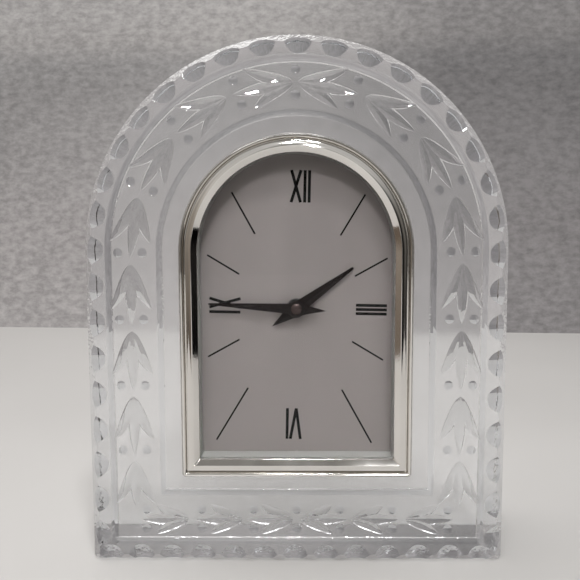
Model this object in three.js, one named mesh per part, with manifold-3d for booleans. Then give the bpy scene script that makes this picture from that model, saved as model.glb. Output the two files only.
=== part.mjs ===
// Arched crystal mantel clock: a cut-glass block with a framed quartz clock insert pressed into its window.
// Units are millimetres. +Z is up, the clock faces -Y and +X is to the right of someone reading the dial.
// Depths are measured back from the front plane of the crystal's border, and heights from the base.

import * as THREE from "three";
import Module from "manifold-3d";
import { mergeVertices } from "three/addons/utils/BufferGeometryUtils.js";

const wasm = await Module();
wasm.setup();

// Crystal block
const BODY_WIDTH = 140;
const BODY_DEPTH = 50;
const ARCH_CENTRE_Z = 106.5;
const BASE_CORNER_RADIUS = 1.5;
const BORDER_WIDTH = 6;
const STEP_WIDTH = 2.6;
const STEP_DROP = 0.7;
const BAND_WIDTH = 14.4;
const ARCH_SEGMENTS = 36;

// Thumb cuts along the front edge
const THUMB_BALL_RADIUS = 16;
const THUMB_RADIUS = 5.1;
const THUMB_INSET = 0.2;
const THUMB_SIDES = 20;
const THUMB_FIRST_OFFSET = 0.6;
const THUMB_PITCH = 12.2;
const THUMB_PITCH_BASE = 10.6;
const THUMB_BASE_OFFSET = -0.6;
const THUMB_CORNER_MARGIN = 5;

// Leaf sprays and dots cut into the band
const SPRAY_START = 0.8;
const SPRAY_LINE_INSET = 14.8;
const SPRAY_PITCH = 22.45;
const LEAF_LENGTH = 20;
const LEAF_HALF_WIDTH = 1.65;
const LEAF_DEPTH = 0.85;
const SIDE_LEAF_REACH = 14.8;
const SIDE_LEAF_SPREAD = 6.6;
const SIDE_LEAF_BOW = 0.7;
const BASE_SPRAY_PITCH = 18.2;
const BASE_LEAF_LENGTH = 15.7;
const BASE_SIDE_LEAF_REACH = 9.8;
const BASE_SIDE_LEAF_SPREAD = 5.8;
const LEAF_SECTIONS = 5;
const LEAF_GAP = 0.25;
const DOT_RADIUS = 1.55;
const DOT_DEPTH = 0.35;
const DOT_SPREAD = 4;
const DOT_LAG = 3.9;
const BASE_DOT_LAG = 4.4;
const BASE_DOT_SPREAD = 3.4;
const DOT_SIDES = 8;

// Bezel frame and what it holds, outlines given as insets from the bezel's outer edge
const BEZEL_HALF_WIDTH = 39.1;
const BEZEL_BOTTOM_Z = 30.2;
const BEZEL_WIDTH = 6.3;
const BEZEL_RISE = 3.6;
const BEZEL_CORNER_RADIUS = 1.5;
const BEZEL_LEDGE = 1.1;
const SKIRT_DEPTH = 9;
const SKIRT_WALL = 1;
const LENS_THICKNESS = 1.5;
const RIM_THICKNESS = 1.2;
const DIAL_RECESS = 8;
const DIAL_THICKNESS = 0.5;
const DIAL_NOTCH_WIDTH = 2.4;
const DIAL_NOTCH_HEIGHT = 1.4;
const DIAL_HOLE_RADIUS = 3.4;
const SURROUND_WALL = 0.9;
const INNER_CORNER_RADIUS = 0.5;
const WINDOW_GAP = 0.5;
const FIT_GAP = 0.3;
const SEAT_GAP = 0.05;

// Insert housing and its sealing ring
const HOUSING_WALL = 1.4;
const HOUSING_DEPTH = 13.6;
const RING_SETBACK = 3;
const RING_WIDTH = 6;
const RING_GAP = 0.1;
const HUB_Z = 87;

// Movement case
const MOVEMENT_ABOVE_HUB = 28;
const MOVEMENT_FRONT_GAP = 0.6;
const FRONT_PLATE_THICKNESS = 1.2;
const BACK_CASE_DEPTH = 15.7;
const CASE_WALL = 1.2;
const EAR_X = 12;
const EAR_RISE = 3;
const EAR_RADIUS = 3;
const EAR_THICKNESS = 1.6;
const EAR_SETBACK = 1.6;
const SCREW_RADIUS = 1.2;
const SCREW_HEAD_RADIUS = 2.2;
const SCREW_HEAD_HEIGHT = 1.4;
const SCREW_LENGTH = 7;
const SLOT_WIDTH = 0.6;
const BOSS_WALL = 1.5;
const RUNNING_GAP = 0.08;

// Battery, AA size, and its bay
const BATTERY_RADIUS = 7.2;
const BATTERY_LENGTH = 49;
const BATTERY_NUB_RADIUS = 2.7;
const BATTERY_NUB_LENGTH = 1.4;
const BAY_GAP = 0.9;
const BAY_WALL = 1.2;
const BAY_END_WALL = 1.3;
const TRAIN_FLOOR_GAP = 1.6;
const CONTACT_THICKNESS = 0.4;
const CONTACT_WIDTH = 7;

// Hands
const HOUR_HAND_LENGTH = 22.9;
const HOUR_HAND_TAIL = 10.2;
const HOUR_HAND_HALF_WIDTH = 2.1;
const HOUR_BOSS_RADIUS = 2.9;
const MINUTE_HAND_LENGTH = 30;
const MINUTE_HAND_TAIL = 10;
const MINUTE_HAND_HALF_WIDTH = 1.75;
const MINUTE_BOSS_RADIUS = 2.9;
const HAND_THICKNESS = 0.4;
const HAND_SPACING = 0.9;
const DIAL_TO_HOUR_HAND = 1.3;
const HOUR_ANGLE = THREE.MathUtils.degToRad(53);
const MINUTE_ANGLE = THREE.MathUtils.degToRad(272);
const CAP_RADIUS = 1.9;
const CAP_HEIGHT = 0.7;

// Wheel train: tooth counts, modules and thicknesses
const CANNON_TEETH = 12;
const MINUTE_WHEEL_TEETH = 36;
const MINUTE_PINION_TEETH = 10;
const HOUR_WHEEL_TEETH = 40;
const SETTING_TEETH = 18;
const CENTRE_WHEEL_TEETH = 64;
const THIRD_PINION_TEETH = 8;
const THIRD_WHEEL_TEETH = 60;
const SECONDS_PINION_TEETH = 8;
const SECONDS_WHEEL_TEETH = 40;
const STEP_PINION_TEETH = 8;
const STEP_WHEEL_TEETH = 48;
const ROTOR_PINION_TEETH = 8;
const MOTION_MODULE = 0.3;
const TRAIN_MODULE = 0.25;
const ROTOR_MODULE = 0.2;
const ADDENDUM = 0.75;
const DEDENDUM = 1.15;
const WHEEL_THICKNESS = 0.7;
const LAYER_GAP = 0.5;
const ARBOR_RADIUS = 0.5;
const PIVOT_DEPTH = 0.6;
const MINUTE_PIPE_RADIUS = 1.1;
const MINUTE_ARBOR_RADIUS = 1.2;
const HOUR_PIPE_RADIUS = 2.1;
const PLATE_THICKNESS = 0.9;
const PLATE_TOP_MARGIN = 4;
const PLATE_LEFT_MARGIN = 8;
const PLATE_RIGHT_MARGIN = 3;
const MAGNET_RADIUS = 1.6;
const MAGNET_LENGTH = 1.3;
const KNOB_RADIUS = 5;
const KNOB_HEIGHT = 2.4;
const KNOB_RIBS = 20;
const KNOB_RIB_DEPTH = 0.4;
const STEM_RADIUS = 1;

// Stepping motor and electronics
const STATOR_THICKNESS = 0.7;
const STATOR_WIDTH = 7;
const STATOR_ARM_WIDTH = 2.5;
const COIL_WALL_GAP = 2.7;
const CORE_RADIUS = 1;
const CORE_GAP = 0.3;
const BARREL_WALL = 0.6;
const WINDING_SETBACK = 0.4;
const COIL_LENGTH = 15;
const COIL_RADIUS = 3.2;
const COIL_FLANGE = 0.8;
const BOARD_WIDTH = 17;
const BOARD_HEIGHT = 9;
const BOARD_THICKNESS = 0.8;
const BOARD_MARGIN = 2;
const CHIP_SIZE = 4;
const CHIP_HEIGHT = 1;
const QUARTZ_RADIUS = 1;
const QUARTZ_LENGTH = 6;

// Places that follow from the sizes above
const ARCH_RADIUS = BODY_WIDTH / 2;
const BODY_HEIGHT = ARCH_CENTRE_Z + ARCH_RADIUS;
const BAND_INSET = BORDER_WIDTH + STEP_WIDTH;
const PANEL_INSET = BAND_INSET + BAND_WIDTH + STEP_WIDTH;
const BAND_DEPTH = STEP_DROP;
const PANEL_DEPTH = 2 * STEP_DROP;
const FRONT_Y = -BODY_DEPTH / 2;
const SKIRT_INSET = BEZEL_WIDTH - SKIRT_WALL - BEZEL_LEDGE;
const WINDOW_INSET = SKIRT_INSET - WINDOW_GAP;
const INNER_INSET = SKIRT_INSET + SKIRT_WALL + FIT_GAP;
const LIP_DEPTH = PANEL_DEPTH - RIM_THICKNESS;
const LENS_FRONT = LIP_DEPTH + SEAT_GAP;
const LENS_BACK = LENS_FRONT + LENS_THICKNESS;
const DIAL_FRONT = DIAL_RECESS;
const DIAL_BACK = DIAL_FRONT + DIAL_THICKNESS;
const HOUSING_FRONT = DIAL_BACK + SEAT_GAP;
const HOUSING_BACK = HOUSING_FRONT + HOUSING_DEPTH;
const PLATE_FRONT = DIAL_BACK + MOVEMENT_FRONT_GAP;
const PLATE_BACK = PLATE_FRONT + FRONT_PLATE_THICKNESS;
const CASE_FRONT = PLATE_BACK + SEAT_GAP;
const CASE_BACK = CASE_FRONT + BACK_CASE_DEPTH;
const BATTERY_DEPTH = CASE_BACK - BATTERY_RADIUS - BAY_GAP;

// Layers of the train, each one running from its first depth for a wheel's thickness
const HOUR_LAYER = PLATE_BACK + LAYER_GAP;
const MINUTE_LAYER = HOUR_LAYER + WHEEL_THICKNESS + LAYER_GAP;
const CENTRE_LAYER = MINUTE_LAYER + WHEEL_THICKNESS + LAYER_GAP;
const MID_PLATE_FRONT = CENTRE_LAYER + WHEEL_THICKNESS + LAYER_GAP;
const MID_PLATE_BACK = MID_PLATE_FRONT + PLATE_THICKNESS;
const THIRD_LAYER = MID_PLATE_BACK + LAYER_GAP;
const SECONDS_LAYER = THIRD_LAYER + WHEEL_THICKNESS + LAYER_GAP;
const STEP_LAYER = SECONDS_LAYER + WHEEL_THICKNESS + LAYER_GAP;
const BRIDGE_FRONT = STEP_LAYER + WHEEL_THICKNESS + LAYER_GAP;
const BRIDGE_BACK = BRIDGE_FRONT + PLATE_THICKNESS;

// Centre distances of meshing pairs, and the modules that let two pairs share one distance
const centreDistance = (module, teethA, teethB) => (module * (teethA + teethB)) / 2;
const MOTION_DISTANCE = centreDistance(MOTION_MODULE, CANNON_TEETH, MINUTE_WHEEL_TEETH);
const HOUR_MODULE = (2 * MOTION_DISTANCE) / (MINUTE_PINION_TEETH + HOUR_WHEEL_TEETH);
const THIRD_DISTANCE = centreDistance(TRAIN_MODULE, SECONDS_PINION_TEETH, THIRD_WHEEL_TEETH);
const CENTRE_MODULE = (2 * THIRD_DISTANCE) / (THIRD_PINION_TEETH + CENTRE_WHEEL_TEETH);
const STEP_DISTANCE = centreDistance(TRAIN_MODULE, STEP_PINION_TEETH, SECONDS_WHEEL_TEETH);
const ROTOR_DISTANCE = centreDistance(ROTOR_MODULE, ROTOR_PINION_TEETH, STEP_WHEEL_TEETH);
const SETTING_DISTANCE = centreDistance(MOTION_MODULE, MINUTE_WHEEL_TEETH, SETTING_TEETH);

// The case encloses the battery bay, whose roof clears the largest wheel under the hub
const HALF_BAY = BATTERY_LENGTH / 2 + BATTERY_NUB_LENGTH / 2 + CONTACT_THICKNESS * 3 + FIT_GAP;
const HALF_MOVEMENT = HALF_BAY + BAY_END_WALL;
const BAY_HALF_HEIGHT = BATTERY_RADIUS + BAY_GAP;
const CHAMBER_FLOOR_Z = HUB_Z - (CENTRE_MODULE * CENTRE_WHEEL_TEETH) / 2 - TRAIN_FLOOR_GAP;
const BATTERY_Z = CHAMBER_FLOOR_Z - BAY_WALL - BAY_HALF_HEIGHT;
const MOVEMENT_BOTTOM_Z = BATTERY_Z - BAY_HALF_HEIGHT - CASE_WALL;
const MOVEMENT_TOP_Z = HUB_Z + MOVEMENT_ABOVE_HUB;

const polar = (origin, distance, degrees) => {
  const angle = THREE.MathUtils.degToRad(degrees);
  return [origin[0] + distance * Math.cos(angle), origin[1] + distance * Math.sin(angle)];
};
const HUB = [0, HUB_Z];
const THIRD_DIRECTION = 135;
const MINUTE_DIRECTION = 45;
const STEP_DIRECTION = 0;
const ROTOR_DIRECTION = 30;
const SETTING_DIRECTION = 90;
const MINUTE_AXIS = polar(HUB, MOTION_DISTANCE, MINUTE_DIRECTION);
const SETTING_AXIS = polar(MINUTE_AXIS, SETTING_DISTANCE, SETTING_DIRECTION);
const THIRD_AXIS = polar(HUB, THIRD_DISTANCE, THIRD_DIRECTION);
const STEP_AXIS = polar(HUB, STEP_DISTANCE, STEP_DIRECTION);
const ROTOR_AXIS = polar(STEP_AXIS, ROTOR_DISTANCE, ROTOR_DIRECTION);

// Materials
const finish = (color, roughness, metalness, extra = {}) =>
  new THREE.MeshStandardMaterial({ color, roughness, metalness, ...extra });
const crystal = finish(0xf2f5f7, 0.03, 0, { transparent: true, opacity: 0.35 });
const chrome = finish(0xd8d6d2, 0.08, 1);
const lensGlass = finish(0xf5f7f7, 0.02, 0, { transparent: true, opacity: 0.2 });
const silverDial = finish(0xa9a3a0, 0.45, 0.4);
const handMetal = finish(0x1d1616, 0.3, 0.6);
const blackPlastic = finish(0x17181a, 0.5, 0);
const greyPlastic = finish(0x8d9094, 0.45, 0);
const whiteNylon = finish(0xe9e7df, 0.4, 0);
const rubber = finish(0x2b2b2b, 0.85, 0);
const brass = finish(0xb8913f, 0.3, 1);
const steel = finish(0xa7abb0, 0.3, 1);
const copper = finish(0xb0623a, 0.35, 0.9);
const boardGreen = finish(0x2f5a3a, 0.55, 0);
const batteryWrap = finish(0x31465e, 0.35, 0.2);

// Solids: closed meshes are joined and cut as manifolds, then handed back as geometry
function toSolid(geometry) {
  const bare = geometry.clone();
  bare.deleteAttribute("normal");
  bare.deleteAttribute("uv");
  const merged = mergeVertices(bare, 1e-5);
  const vertProperties = new Float32Array(merged.attributes.position.array);
  const triVerts = new Uint32Array(merged.index.array);
  return new wasm.Manifold(new wasm.Mesh({ numProp: 3, vertProperties, triVerts }));
}

function toGeometry(solid) {
  const mesh = solid.getMesh();
  const geometry = new THREE.BufferGeometry();
  geometry.setAttribute("position", new THREE.BufferAttribute(new Float32Array(mesh.vertProperties), 3));
  geometry.setIndex(new THREE.BufferAttribute(new Uint32Array(mesh.triVerts), 1));
  geometry.computeVertexNormals();
  return geometry;
}

const join = (...solids) => solids.reduce((whole, next) => whole.add(next));
const cut = (solid, ...tools) => tools.reduce((whole, tool) => whole.subtract(tool), solid);

// Outlines in the plane of the dial, as [x, z] points running anticlockwise from the lower right
function archOutline(half, bottom, cornerRadius, segments = ARCH_SEGMENTS) {
  const points = [];
  const corner = (x, z, from) => {
    if (cornerRadius === 0) points.push([x, z]);
    else for (let i = 0; i <= 3; i++) points.push(polar([x, z], cornerRadius, from + 30 * i));
  };
  corner(half - cornerRadius, bottom + cornerRadius, -90);
  for (let i = 0; i <= segments; i++) points.push(polar([0, ARCH_CENTRE_Z], half, (180 * i) / segments));
  corner(-half + cornerRadius, bottom + cornerRadius, 180);
  return points;
}

const bodyOutline = (inset) => archOutline(ARCH_RADIUS - inset, inset, 0);
const insertOutline = (inset, cornerRadius) =>
  archOutline(BEZEL_HALF_WIDTH - inset, BEZEL_BOTTOM_Z + inset, cornerRadius);
const frameOutline = (inset) =>
  insertOutline(inset, Math.max(INNER_CORNER_RADIUS, BEZEL_CORNER_RADIUS - inset));

// A plate or prism with the given outline between two depths
function slab(points, depthFront, depthBack) {
  const shape = new THREE.Shape(points.map(([x, z]) => new THREE.Vector2(x, z)));
  const geometry = new THREE.ExtrudeGeometry(shape, { depth: depthBack - depthFront, bevelEnabled: false });
  geometry.rotateX(Math.PI / 2);
  geometry.translate(0, FRONT_Y + depthBack, 0);
  return toSolid(geometry);
}

// A solid between stacked outlines of equal point count, closed by a cap at each end
function loft(outlines) {
  const count = outlines[0].points.length;
  const positions = outlines.flatMap(({ points, depth }) =>
    points.flatMap(([x, z]) => [x, FRONT_Y + depth, z]));
  const index = [];
  for (let level = 0; level + 1 < outlines.length; level++) {
    for (let i = 0; i < count; i++) {
      const a = level * count + i;
      const b = level * count + ((i + 1) % count);
      index.push(a, b, b + count, a, b + count, a + count);
    }
  }
  const flat = outlines[0].points.map(([x, z]) => new THREE.Vector2(x, z));
  const top = (outlines.length - 1) * count;
  for (const [a, b, c] of THREE.ShapeUtils.triangulateShape(flat, [])) {
    index.push(a, c, b, top + a, top + b, top + c);
  }
  const geometry = new THREE.BufferGeometry();
  geometry.setAttribute("position", new THREE.Float32BufferAttribute(positions, 3));
  geometry.setIndex(index);
  return outwards(geometry);
}

// A ring with a closed profile of [inset, depth] points carried round an outline
function moulding(profile, outlineAt) {
  const rings = profile.map(([inset, depth]) => outlineAt(inset).map(([x, z]) => [x, FRONT_Y + depth, z]));
  const count = rings[0].length;
  const index = [];
  for (let ring = 0; ring < rings.length; ring++) {
    const next = (ring + 1) % rings.length;
    for (let i = 0; i < count; i++) {
      const j = (i + 1) % count;
      index.push(ring * count + i, ring * count + j, next * count + j);
      index.push(ring * count + i, next * count + j, next * count + i);
    }
  }
  const geometry = new THREE.BufferGeometry();
  geometry.setAttribute("position", new THREE.Float32BufferAttribute(rings.flat(2), 3));
  geometry.setIndex(index);
  return outwards(geometry);
}

// Turns a closed mesh's faces so that they all point out
function outwards(geometry) {
  const solidPositions = geometry.attributes.position;
  const corners = geometry.index.array;
  const [a, b, c] = [new THREE.Vector3(), new THREE.Vector3(), new THREE.Vector3()];
  let volume = 0;
  for (let i = 0; i < corners.length; i += 3) {
    a.fromBufferAttribute(solidPositions, corners[i]);
    b.fromBufferAttribute(solidPositions, corners[i + 1]);
    c.fromBufferAttribute(solidPositions, corners[i + 2]);
    volume += a.dot(b.cross(c));
  }
  if (volume < 0) {
    for (let i = 0; i < corners.length; i += 3) {
      [corners[i + 1], corners[i + 2]] = [corners[i + 2], corners[i + 1]];
    }
  }
  return toSolid(geometry);
}

// A turned piece about an axis along the depth, with a profile of [radius, depth] points
function turned(axis, profile, sides = 16) {
  const points = profile.map(([radius, depth]) => new THREE.Vector2(radius, depth));
  const geometry = new THREE.LatheGeometry(points, sides);
  geometry.translate(axis[0], FRONT_Y, axis[1]);
  const bare = geometry.clone();
  bare.deleteAttribute("normal");
  bare.deleteAttribute("uv");
  return outwards(mergeVertices(bare, 1e-5));
}

const rod = (axis, radius, depthFront, depthBack, sides = 16) =>
  turned(axis, [[0, depthFront], [radius, depthFront], [radius, depthBack], [0, depthBack]], sides);

function tube(axis, inner, outer, depthFront, depthBack, sides = 16) {
  return turned(axis, [[inner, depthFront], [outer, depthFront], [outer, depthBack], [inner, depthBack],
    [inner, depthFront]], sides);
}

function box(xLow, xHigh, depthFront, depthBack, zLow, zHigh) {
  return slab([[xLow, zLow], [xHigh, zLow], [xHigh, zHigh], [xLow, zHigh]], depthFront, depthBack);
}

// Crystal: block, stepped front, thumb cuts, leaf sprays and dots
const archLength = (inset) => ((ARCH_RADIUS - inset) * Math.PI) / 2;

// The place a given distance round from the crown, along an outline at the given inset
function alongArch(inset, distance, side) {
  const radius = ARCH_RADIUS - inset;
  const angle = Math.min(distance / radius, Math.PI / 2);
  const drop = Math.max(0, distance - archLength(inset));
  const normal = [side * Math.sin(angle), Math.cos(angle)];
  const point = [radius * normal[0], ARCH_CENTRE_Z + radius * normal[1] - drop];
  return { point, normal };
}

function offset({ point, normal }, outward) {
  return [point[0] + outward * normal[0], point[1] + outward * normal[1]];
}

// One shallow hollow ground over the front edge, a part of a large ball
function thumbCut(place) {
  const height = Math.sqrt(THUMB_BALL_RADIUS ** 2 - THUMB_RADIUS ** 2);
  const sink = THUMB_BALL_RADIUS - height;
  const radiusAt = (depth) => Math.sqrt(THUMB_BALL_RADIUS ** 2 - (height + depth) ** 2);
  const rim = [-sink, 0, 0.45 * sink, 0.8 * sink].map((depth) => [radiusAt(depth), depth]);
  return turned(offset(place, -THUMB_INSET), [[0, -sink], ...rim, [0, sink]], THUMB_SIDES);
}

function thumbCuts() {
  const cuts = [];
  const sideLength = archLength(0) + ARCH_CENTRE_Z - THUMB_CORNER_MARGIN;
  for (let s = THUMB_FIRST_OFFSET; s < sideLength; s += THUMB_PITCH) cuts.push(alongArch(0, s, 1));
  for (let s = THUMB_PITCH - THUMB_FIRST_OFFSET; s < sideLength; s += THUMB_PITCH) {
    cuts.push(alongArch(0, s, -1));
  }
  const baseReach = ARCH_RADIUS - THUMB_CORNER_MARGIN;
  const firstIndex = Math.ceil((-baseReach - THUMB_BASE_OFFSET) / THUMB_PITCH_BASE);
  for (let i = firstIndex; THUMB_BASE_OFFSET + i * THUMB_PITCH_BASE <= baseReach; i++) {
    cuts.push({ point: [THUMB_BASE_OFFSET + i * THUMB_PITCH_BASE, 0], normal: [0, -1] });
  }
  return cuts.map(thumbCut);
}

// One leaf from its tip to its far end: a V-shaped groove, widest in the middle, bowed sideways
function leafCut(tip, end, bow) {
  const along = [end[0] - tip[0], end[1] - tip[1]];
  const length = Math.hypot(...along);
  const across = [-along[1] / length, along[0] / length];
  const outlines = [];
  const section = (share) => {
    const swell = Math.sin(Math.PI * share);
    const shift = bow * swell;
    const half = LEAF_HALF_WIDTH * Math.sqrt(swell);
    const at = (side) => [0, 1].map((k) => tip[k] + along[k] * share + across[k] * (shift + side));
    return { left: at(half), right: at(-half), keel: at(0), depth: LEAF_DEPTH * Math.sqrt(swell) };
  };
  const lift = LEAF_DEPTH;
  const positions = [];
  const vertex = ([x, z], depth) => {
    positions.push(x, FRONT_Y + BAND_DEPTH + depth, z);
    return positions.length / 3 - 1;
  };
  const index = [];
  const tipSurface = vertex(tip, 0);
  const tipTop = vertex(tip, -lift);
  for (let i = 1; i < LEAF_SECTIONS; i++) outlines.push(section(i / LEAF_SECTIONS));
  const rows = outlines.map(({ left, right, keel, depth }) =>
    [vertex(left, 0), vertex(keel, depth), vertex(right, 0), vertex(right, -lift), vertex(left, -lift)]);
  const endSurface = vertex(end, 0);
  const endTop = vertex(end, -lift);
  const capRow = (row, surface, top, flip) => {
    const fan = [[surface, row[0], row[1]], [surface, row[1], row[2]], [surface, row[2], row[3]],
      [surface, row[3], top], [top, row[3], row[4]], [top, row[4], row[0]], [top, row[0], surface]];
    for (const [a, b, c] of fan) index.push(...(flip ? [a, c, b] : [a, b, c]));
  };
  capRow(rows[0], tipSurface, tipTop, false);
  for (let r = 0; r + 1 < rows.length; r++) {
    for (let k = 0; k < 5; k++) {
      const n = (k + 1) % 5;
      index.push(rows[r][k], rows[r + 1][k], rows[r + 1][n], rows[r][k], rows[r + 1][n], rows[r][n]);
    }
  }
  capRow(rows[rows.length - 1], endSurface, endTop, true);
  const geometry = new THREE.BufferGeometry();
  geometry.setAttribute("position", new THREE.Float32BufferAttribute(positions, 3));
  geometry.setIndex(index);
  return outwards(geometry);
}

function dotCut(point) {
  const above = BAND_DEPTH - DOT_DEPTH;
  return turned(point, [[0, above], [DOT_RADIUS, above], [DOT_RADIUS, BAND_DEPTH],
    [DOT_RADIUS * 0.6, BAND_DEPTH + DOT_DEPTH * 0.7], [0, BAND_DEPTH + DOT_DEPTH]], DOT_SIDES);
}

// Three leaves that share one tip, and the two dots beside the middle leaf's end
function spray(placeAt, start, sizes, side) {
  const tip = placeAt(start);
  const end = placeAt(start + sizes.length);
  const far = placeAt(start + sizes.reach);
  const dots = placeAt(start + sizes.dotLag);
  const leaves = [leafCut(offset(tip, 0), offset(end, 0), 0)];
  const sideTip = placeAt(start + LEAF_GAP);
  for (const hand of [1, -1]) {
    const bow = -side * hand * SIDE_LEAF_BOW;
    leaves.push(leafCut(offset(sideTip, hand * 2 * LEAF_GAP), offset(far, hand * sizes.spread), bow));
  }
  return [...leaves, ...[1, -1].map((hand) => dotCut(offset(dots, hand * sizes.dotSpread)))];
}

function ornament() {
  const cuts = [];
  const sideSizes = { length: LEAF_LENGTH, reach: SIDE_LEAF_REACH, spread: SIDE_LEAF_SPREAD,
    dotLag: SPRAY_PITCH - DOT_LAG, dotSpread: DOT_SPREAD };
  const baseSizes = { length: BASE_LEAF_LENGTH, reach: BASE_SIDE_LEAF_REACH, spread: BASE_SIDE_LEAF_SPREAD,
    dotLag: BASE_SPRAY_PITCH - BASE_DOT_LAG, dotSpread: BASE_DOT_SPREAD };
  const sideLength = archLength(SPRAY_LINE_INSET) + ARCH_CENTRE_Z - SPRAY_LINE_INSET;
  const baseLength = ARCH_RADIUS - SPRAY_LINE_INSET;
  for (const side of [-1, 1]) {
    const round = (distance) => alongArch(SPRAY_LINE_INSET, distance, side);
    for (let s = SPRAY_START; s + LEAF_LENGTH <= sideLength; s += SPRAY_PITCH) {
      cuts.push(...spray(round, s, sideSizes, side));
    }
    const level = (distance) => ({ point: [side * distance, SPRAY_LINE_INSET], normal: [0, -1] });
    for (let s = SPRAY_START; s + BASE_LEAF_LENGTH <= baseLength; s += BASE_SPRAY_PITCH) {
      cuts.push(...spray(level, s, baseSizes, -side));
    }
  }
  const crown = alongArch(SPRAY_LINE_INSET, 0, 1);
  const sill = { point: [0, SPRAY_LINE_INSET], normal: [0, 1] };
  for (const hand of [1, -1]) {
    cuts.push(dotCut(offset(crown, hand * DOT_SPREAD)), dotCut(offset(sill, hand * BASE_DOT_SPREAD)));
  }
  return cuts;
}

function crystalBody() {
  const block = slab(archOutline(ARCH_RADIUS, 0, BASE_CORNER_RADIUS), 0, BODY_DEPTH);
  const overrun = STEP_DROP;
  const slope = STEP_WIDTH / STEP_DROP;
  const recess = (inset, depth) => loft([
    { points: bodyOutline(inset - slope * overrun), depth: depth - overrun },
    { points: bodyOutline(inset + STEP_WIDTH), depth: depth + STEP_DROP },
  ]);
  const windowHole = slab(frameOutline(WINDOW_INSET), -1, BODY_DEPTH + 1);
  const steps = [recess(BORDER_WIDTH, 0), recess(PANEL_INSET - STEP_WIDTH, BAND_DEPTH)];
  const stepped = cut(block, ...steps, windowHole);
  return stepped.subtract(wasm.Manifold.union([...thumbCuts(), ...ornament()]));
}

// Steps of the bezel's face, as shares of its width from the outer edge and of its rise
const BEZEL_SHAPE = [[0, 0], [0, 0.5], [0.1, 0.76], [0.24, 0.82], [0.36, 0.66], [0.4, 0.45], [0.46, 0.45],
  [0.49, 0.85], [0.59, 0.95], [0.7, 1], [0.73, 1], [1, 0.66]];

// Bezel: outer roll, groove, bead and inner bevel, with a skirt that enters the window
function bezel() {
  const face = (rise) => PANEL_DEPTH - rise;
  const shape = BEZEL_SHAPE.map(([across, up]) => [across * BEZEL_WIDTH, face(up * BEZEL_RISE)]);
  const profile = [...shape, [BEZEL_WIDTH, LIP_DEPTH],
    [SKIRT_INSET + SKIRT_WALL, LIP_DEPTH], [SKIRT_INSET + SKIRT_WALL, SKIRT_DEPTH],
    [SKIRT_INSET, SKIRT_DEPTH], [SKIRT_INSET, face(0)],
  ];
  return moulding(profile, frameOutline);
}

const lens = () => slab(frameOutline(INNER_INSET), LENS_FRONT, LENS_BACK);

const dialSurround = () => cut(
  slab(frameOutline(INNER_INSET), LENS_BACK + SEAT_GAP, DIAL_FRONT - SEAT_GAP),
  slab(frameOutline(INNER_INSET + SURROUND_WALL), LENS_BACK - 1, DIAL_FRONT + 1));

function dial() {
  const bottom = BEZEL_BOTTOM_Z + INNER_INSET;
  const notch = slab([[-DIAL_NOTCH_WIDTH / 2, bottom - 1], [DIAL_NOTCH_WIDTH / 2, bottom - 1],
    [0, bottom + DIAL_NOTCH_HEIGHT]], DIAL_FRONT - 1, DIAL_BACK + 1);
  const plate = slab(frameOutline(INNER_INSET), DIAL_FRONT, DIAL_BACK);
  return cut(plate, notch, rod(HUB, DIAL_HOLE_RADIUS, DIAL_FRONT - 1, DIAL_BACK + 1, 24));
}

// Housing: a tub with a window for the movement and four bosses for its screws
const screwPlaces = [MOVEMENT_BOTTOM_Z - EAR_RISE, MOVEMENT_TOP_Z + EAR_RISE].flatMap((z) =>
  [[-EAR_X, z], [EAR_X, z]]);
const EAR_FRONT = PLATE_FRONT + EAR_SETBACK;
const EAR_BACK = EAR_FRONT + EAR_THICKNESS;

function housing() {
  const shell = cut(
    slab(frameOutline(INNER_INSET), HOUSING_FRONT, HOUSING_BACK),
    slab(frameOutline(INNER_INSET + HOUSING_WALL), HOUSING_FRONT - 1, HOUSING_BACK - HOUSING_WALL));
  const half = HALF_MOVEMENT + FIT_GAP;
  const backWindow = box(-half, half, HOUSING_FRONT, HOUSING_BACK + 1, MOVEMENT_BOTTOM_Z - FIT_GAP,
    MOVEMENT_TOP_Z + FIT_GAP);
  const bosses = screwPlaces.map((place) =>
    rod(place, SCREW_RADIUS + BOSS_WALL, EAR_BACK + SEAT_GAP, HOUSING_BACK - HOUSING_WALL / 2));
  const bores = screwPlaces.map((place) =>
    rod(place, SCREW_RADIUS + SEAT_GAP * 2, EAR_BACK - 1, EAR_BACK + SCREW_LENGTH));
  return cut(join(shell, ...bosses), backWindow, ...bores);
}

function sealingRing() {
  const front = SKIRT_DEPTH + RING_SETBACK;
  const back = front + RING_WIDTH;
  return cut(slab(frameOutline(WINDOW_INSET + RING_GAP), front, back),
    slab(frameOutline(INNER_INSET - SEAT_GAP), front - 1, back + 1));
}

function movementScrew(place) {
  const head = rod(place, SCREW_HEAD_RADIUS, EAR_FRONT - SCREW_HEAD_HEIGHT, EAR_FRONT - SEAT_GAP);
  const shank = rod(place, SCREW_RADIUS, EAR_FRONT - SCREW_HEAD_HEIGHT / 2, EAR_BACK + SCREW_LENGTH - 1);
  const [x, z] = place;
  const slot = box(x - SCREW_HEAD_RADIUS, x + SCREW_HEAD_RADIUS, EAR_FRONT - 2 * SCREW_HEAD_HEIGHT,
    EAR_FRONT - SCREW_HEAD_HEIGHT / 2, z - SLOT_WIDTH / 2, z + SLOT_WIDTH / 2);
  return cut(join(head, shank), slot);
}

// Movement case: front plate with ears, and a back case with the train's chamber and the battery bay
const pivotHole = (axis, depthFront, depthBack) =>
  rod(axis, ARBOR_RADIUS + RUNNING_GAP, depthFront, depthBack, 12);

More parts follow.
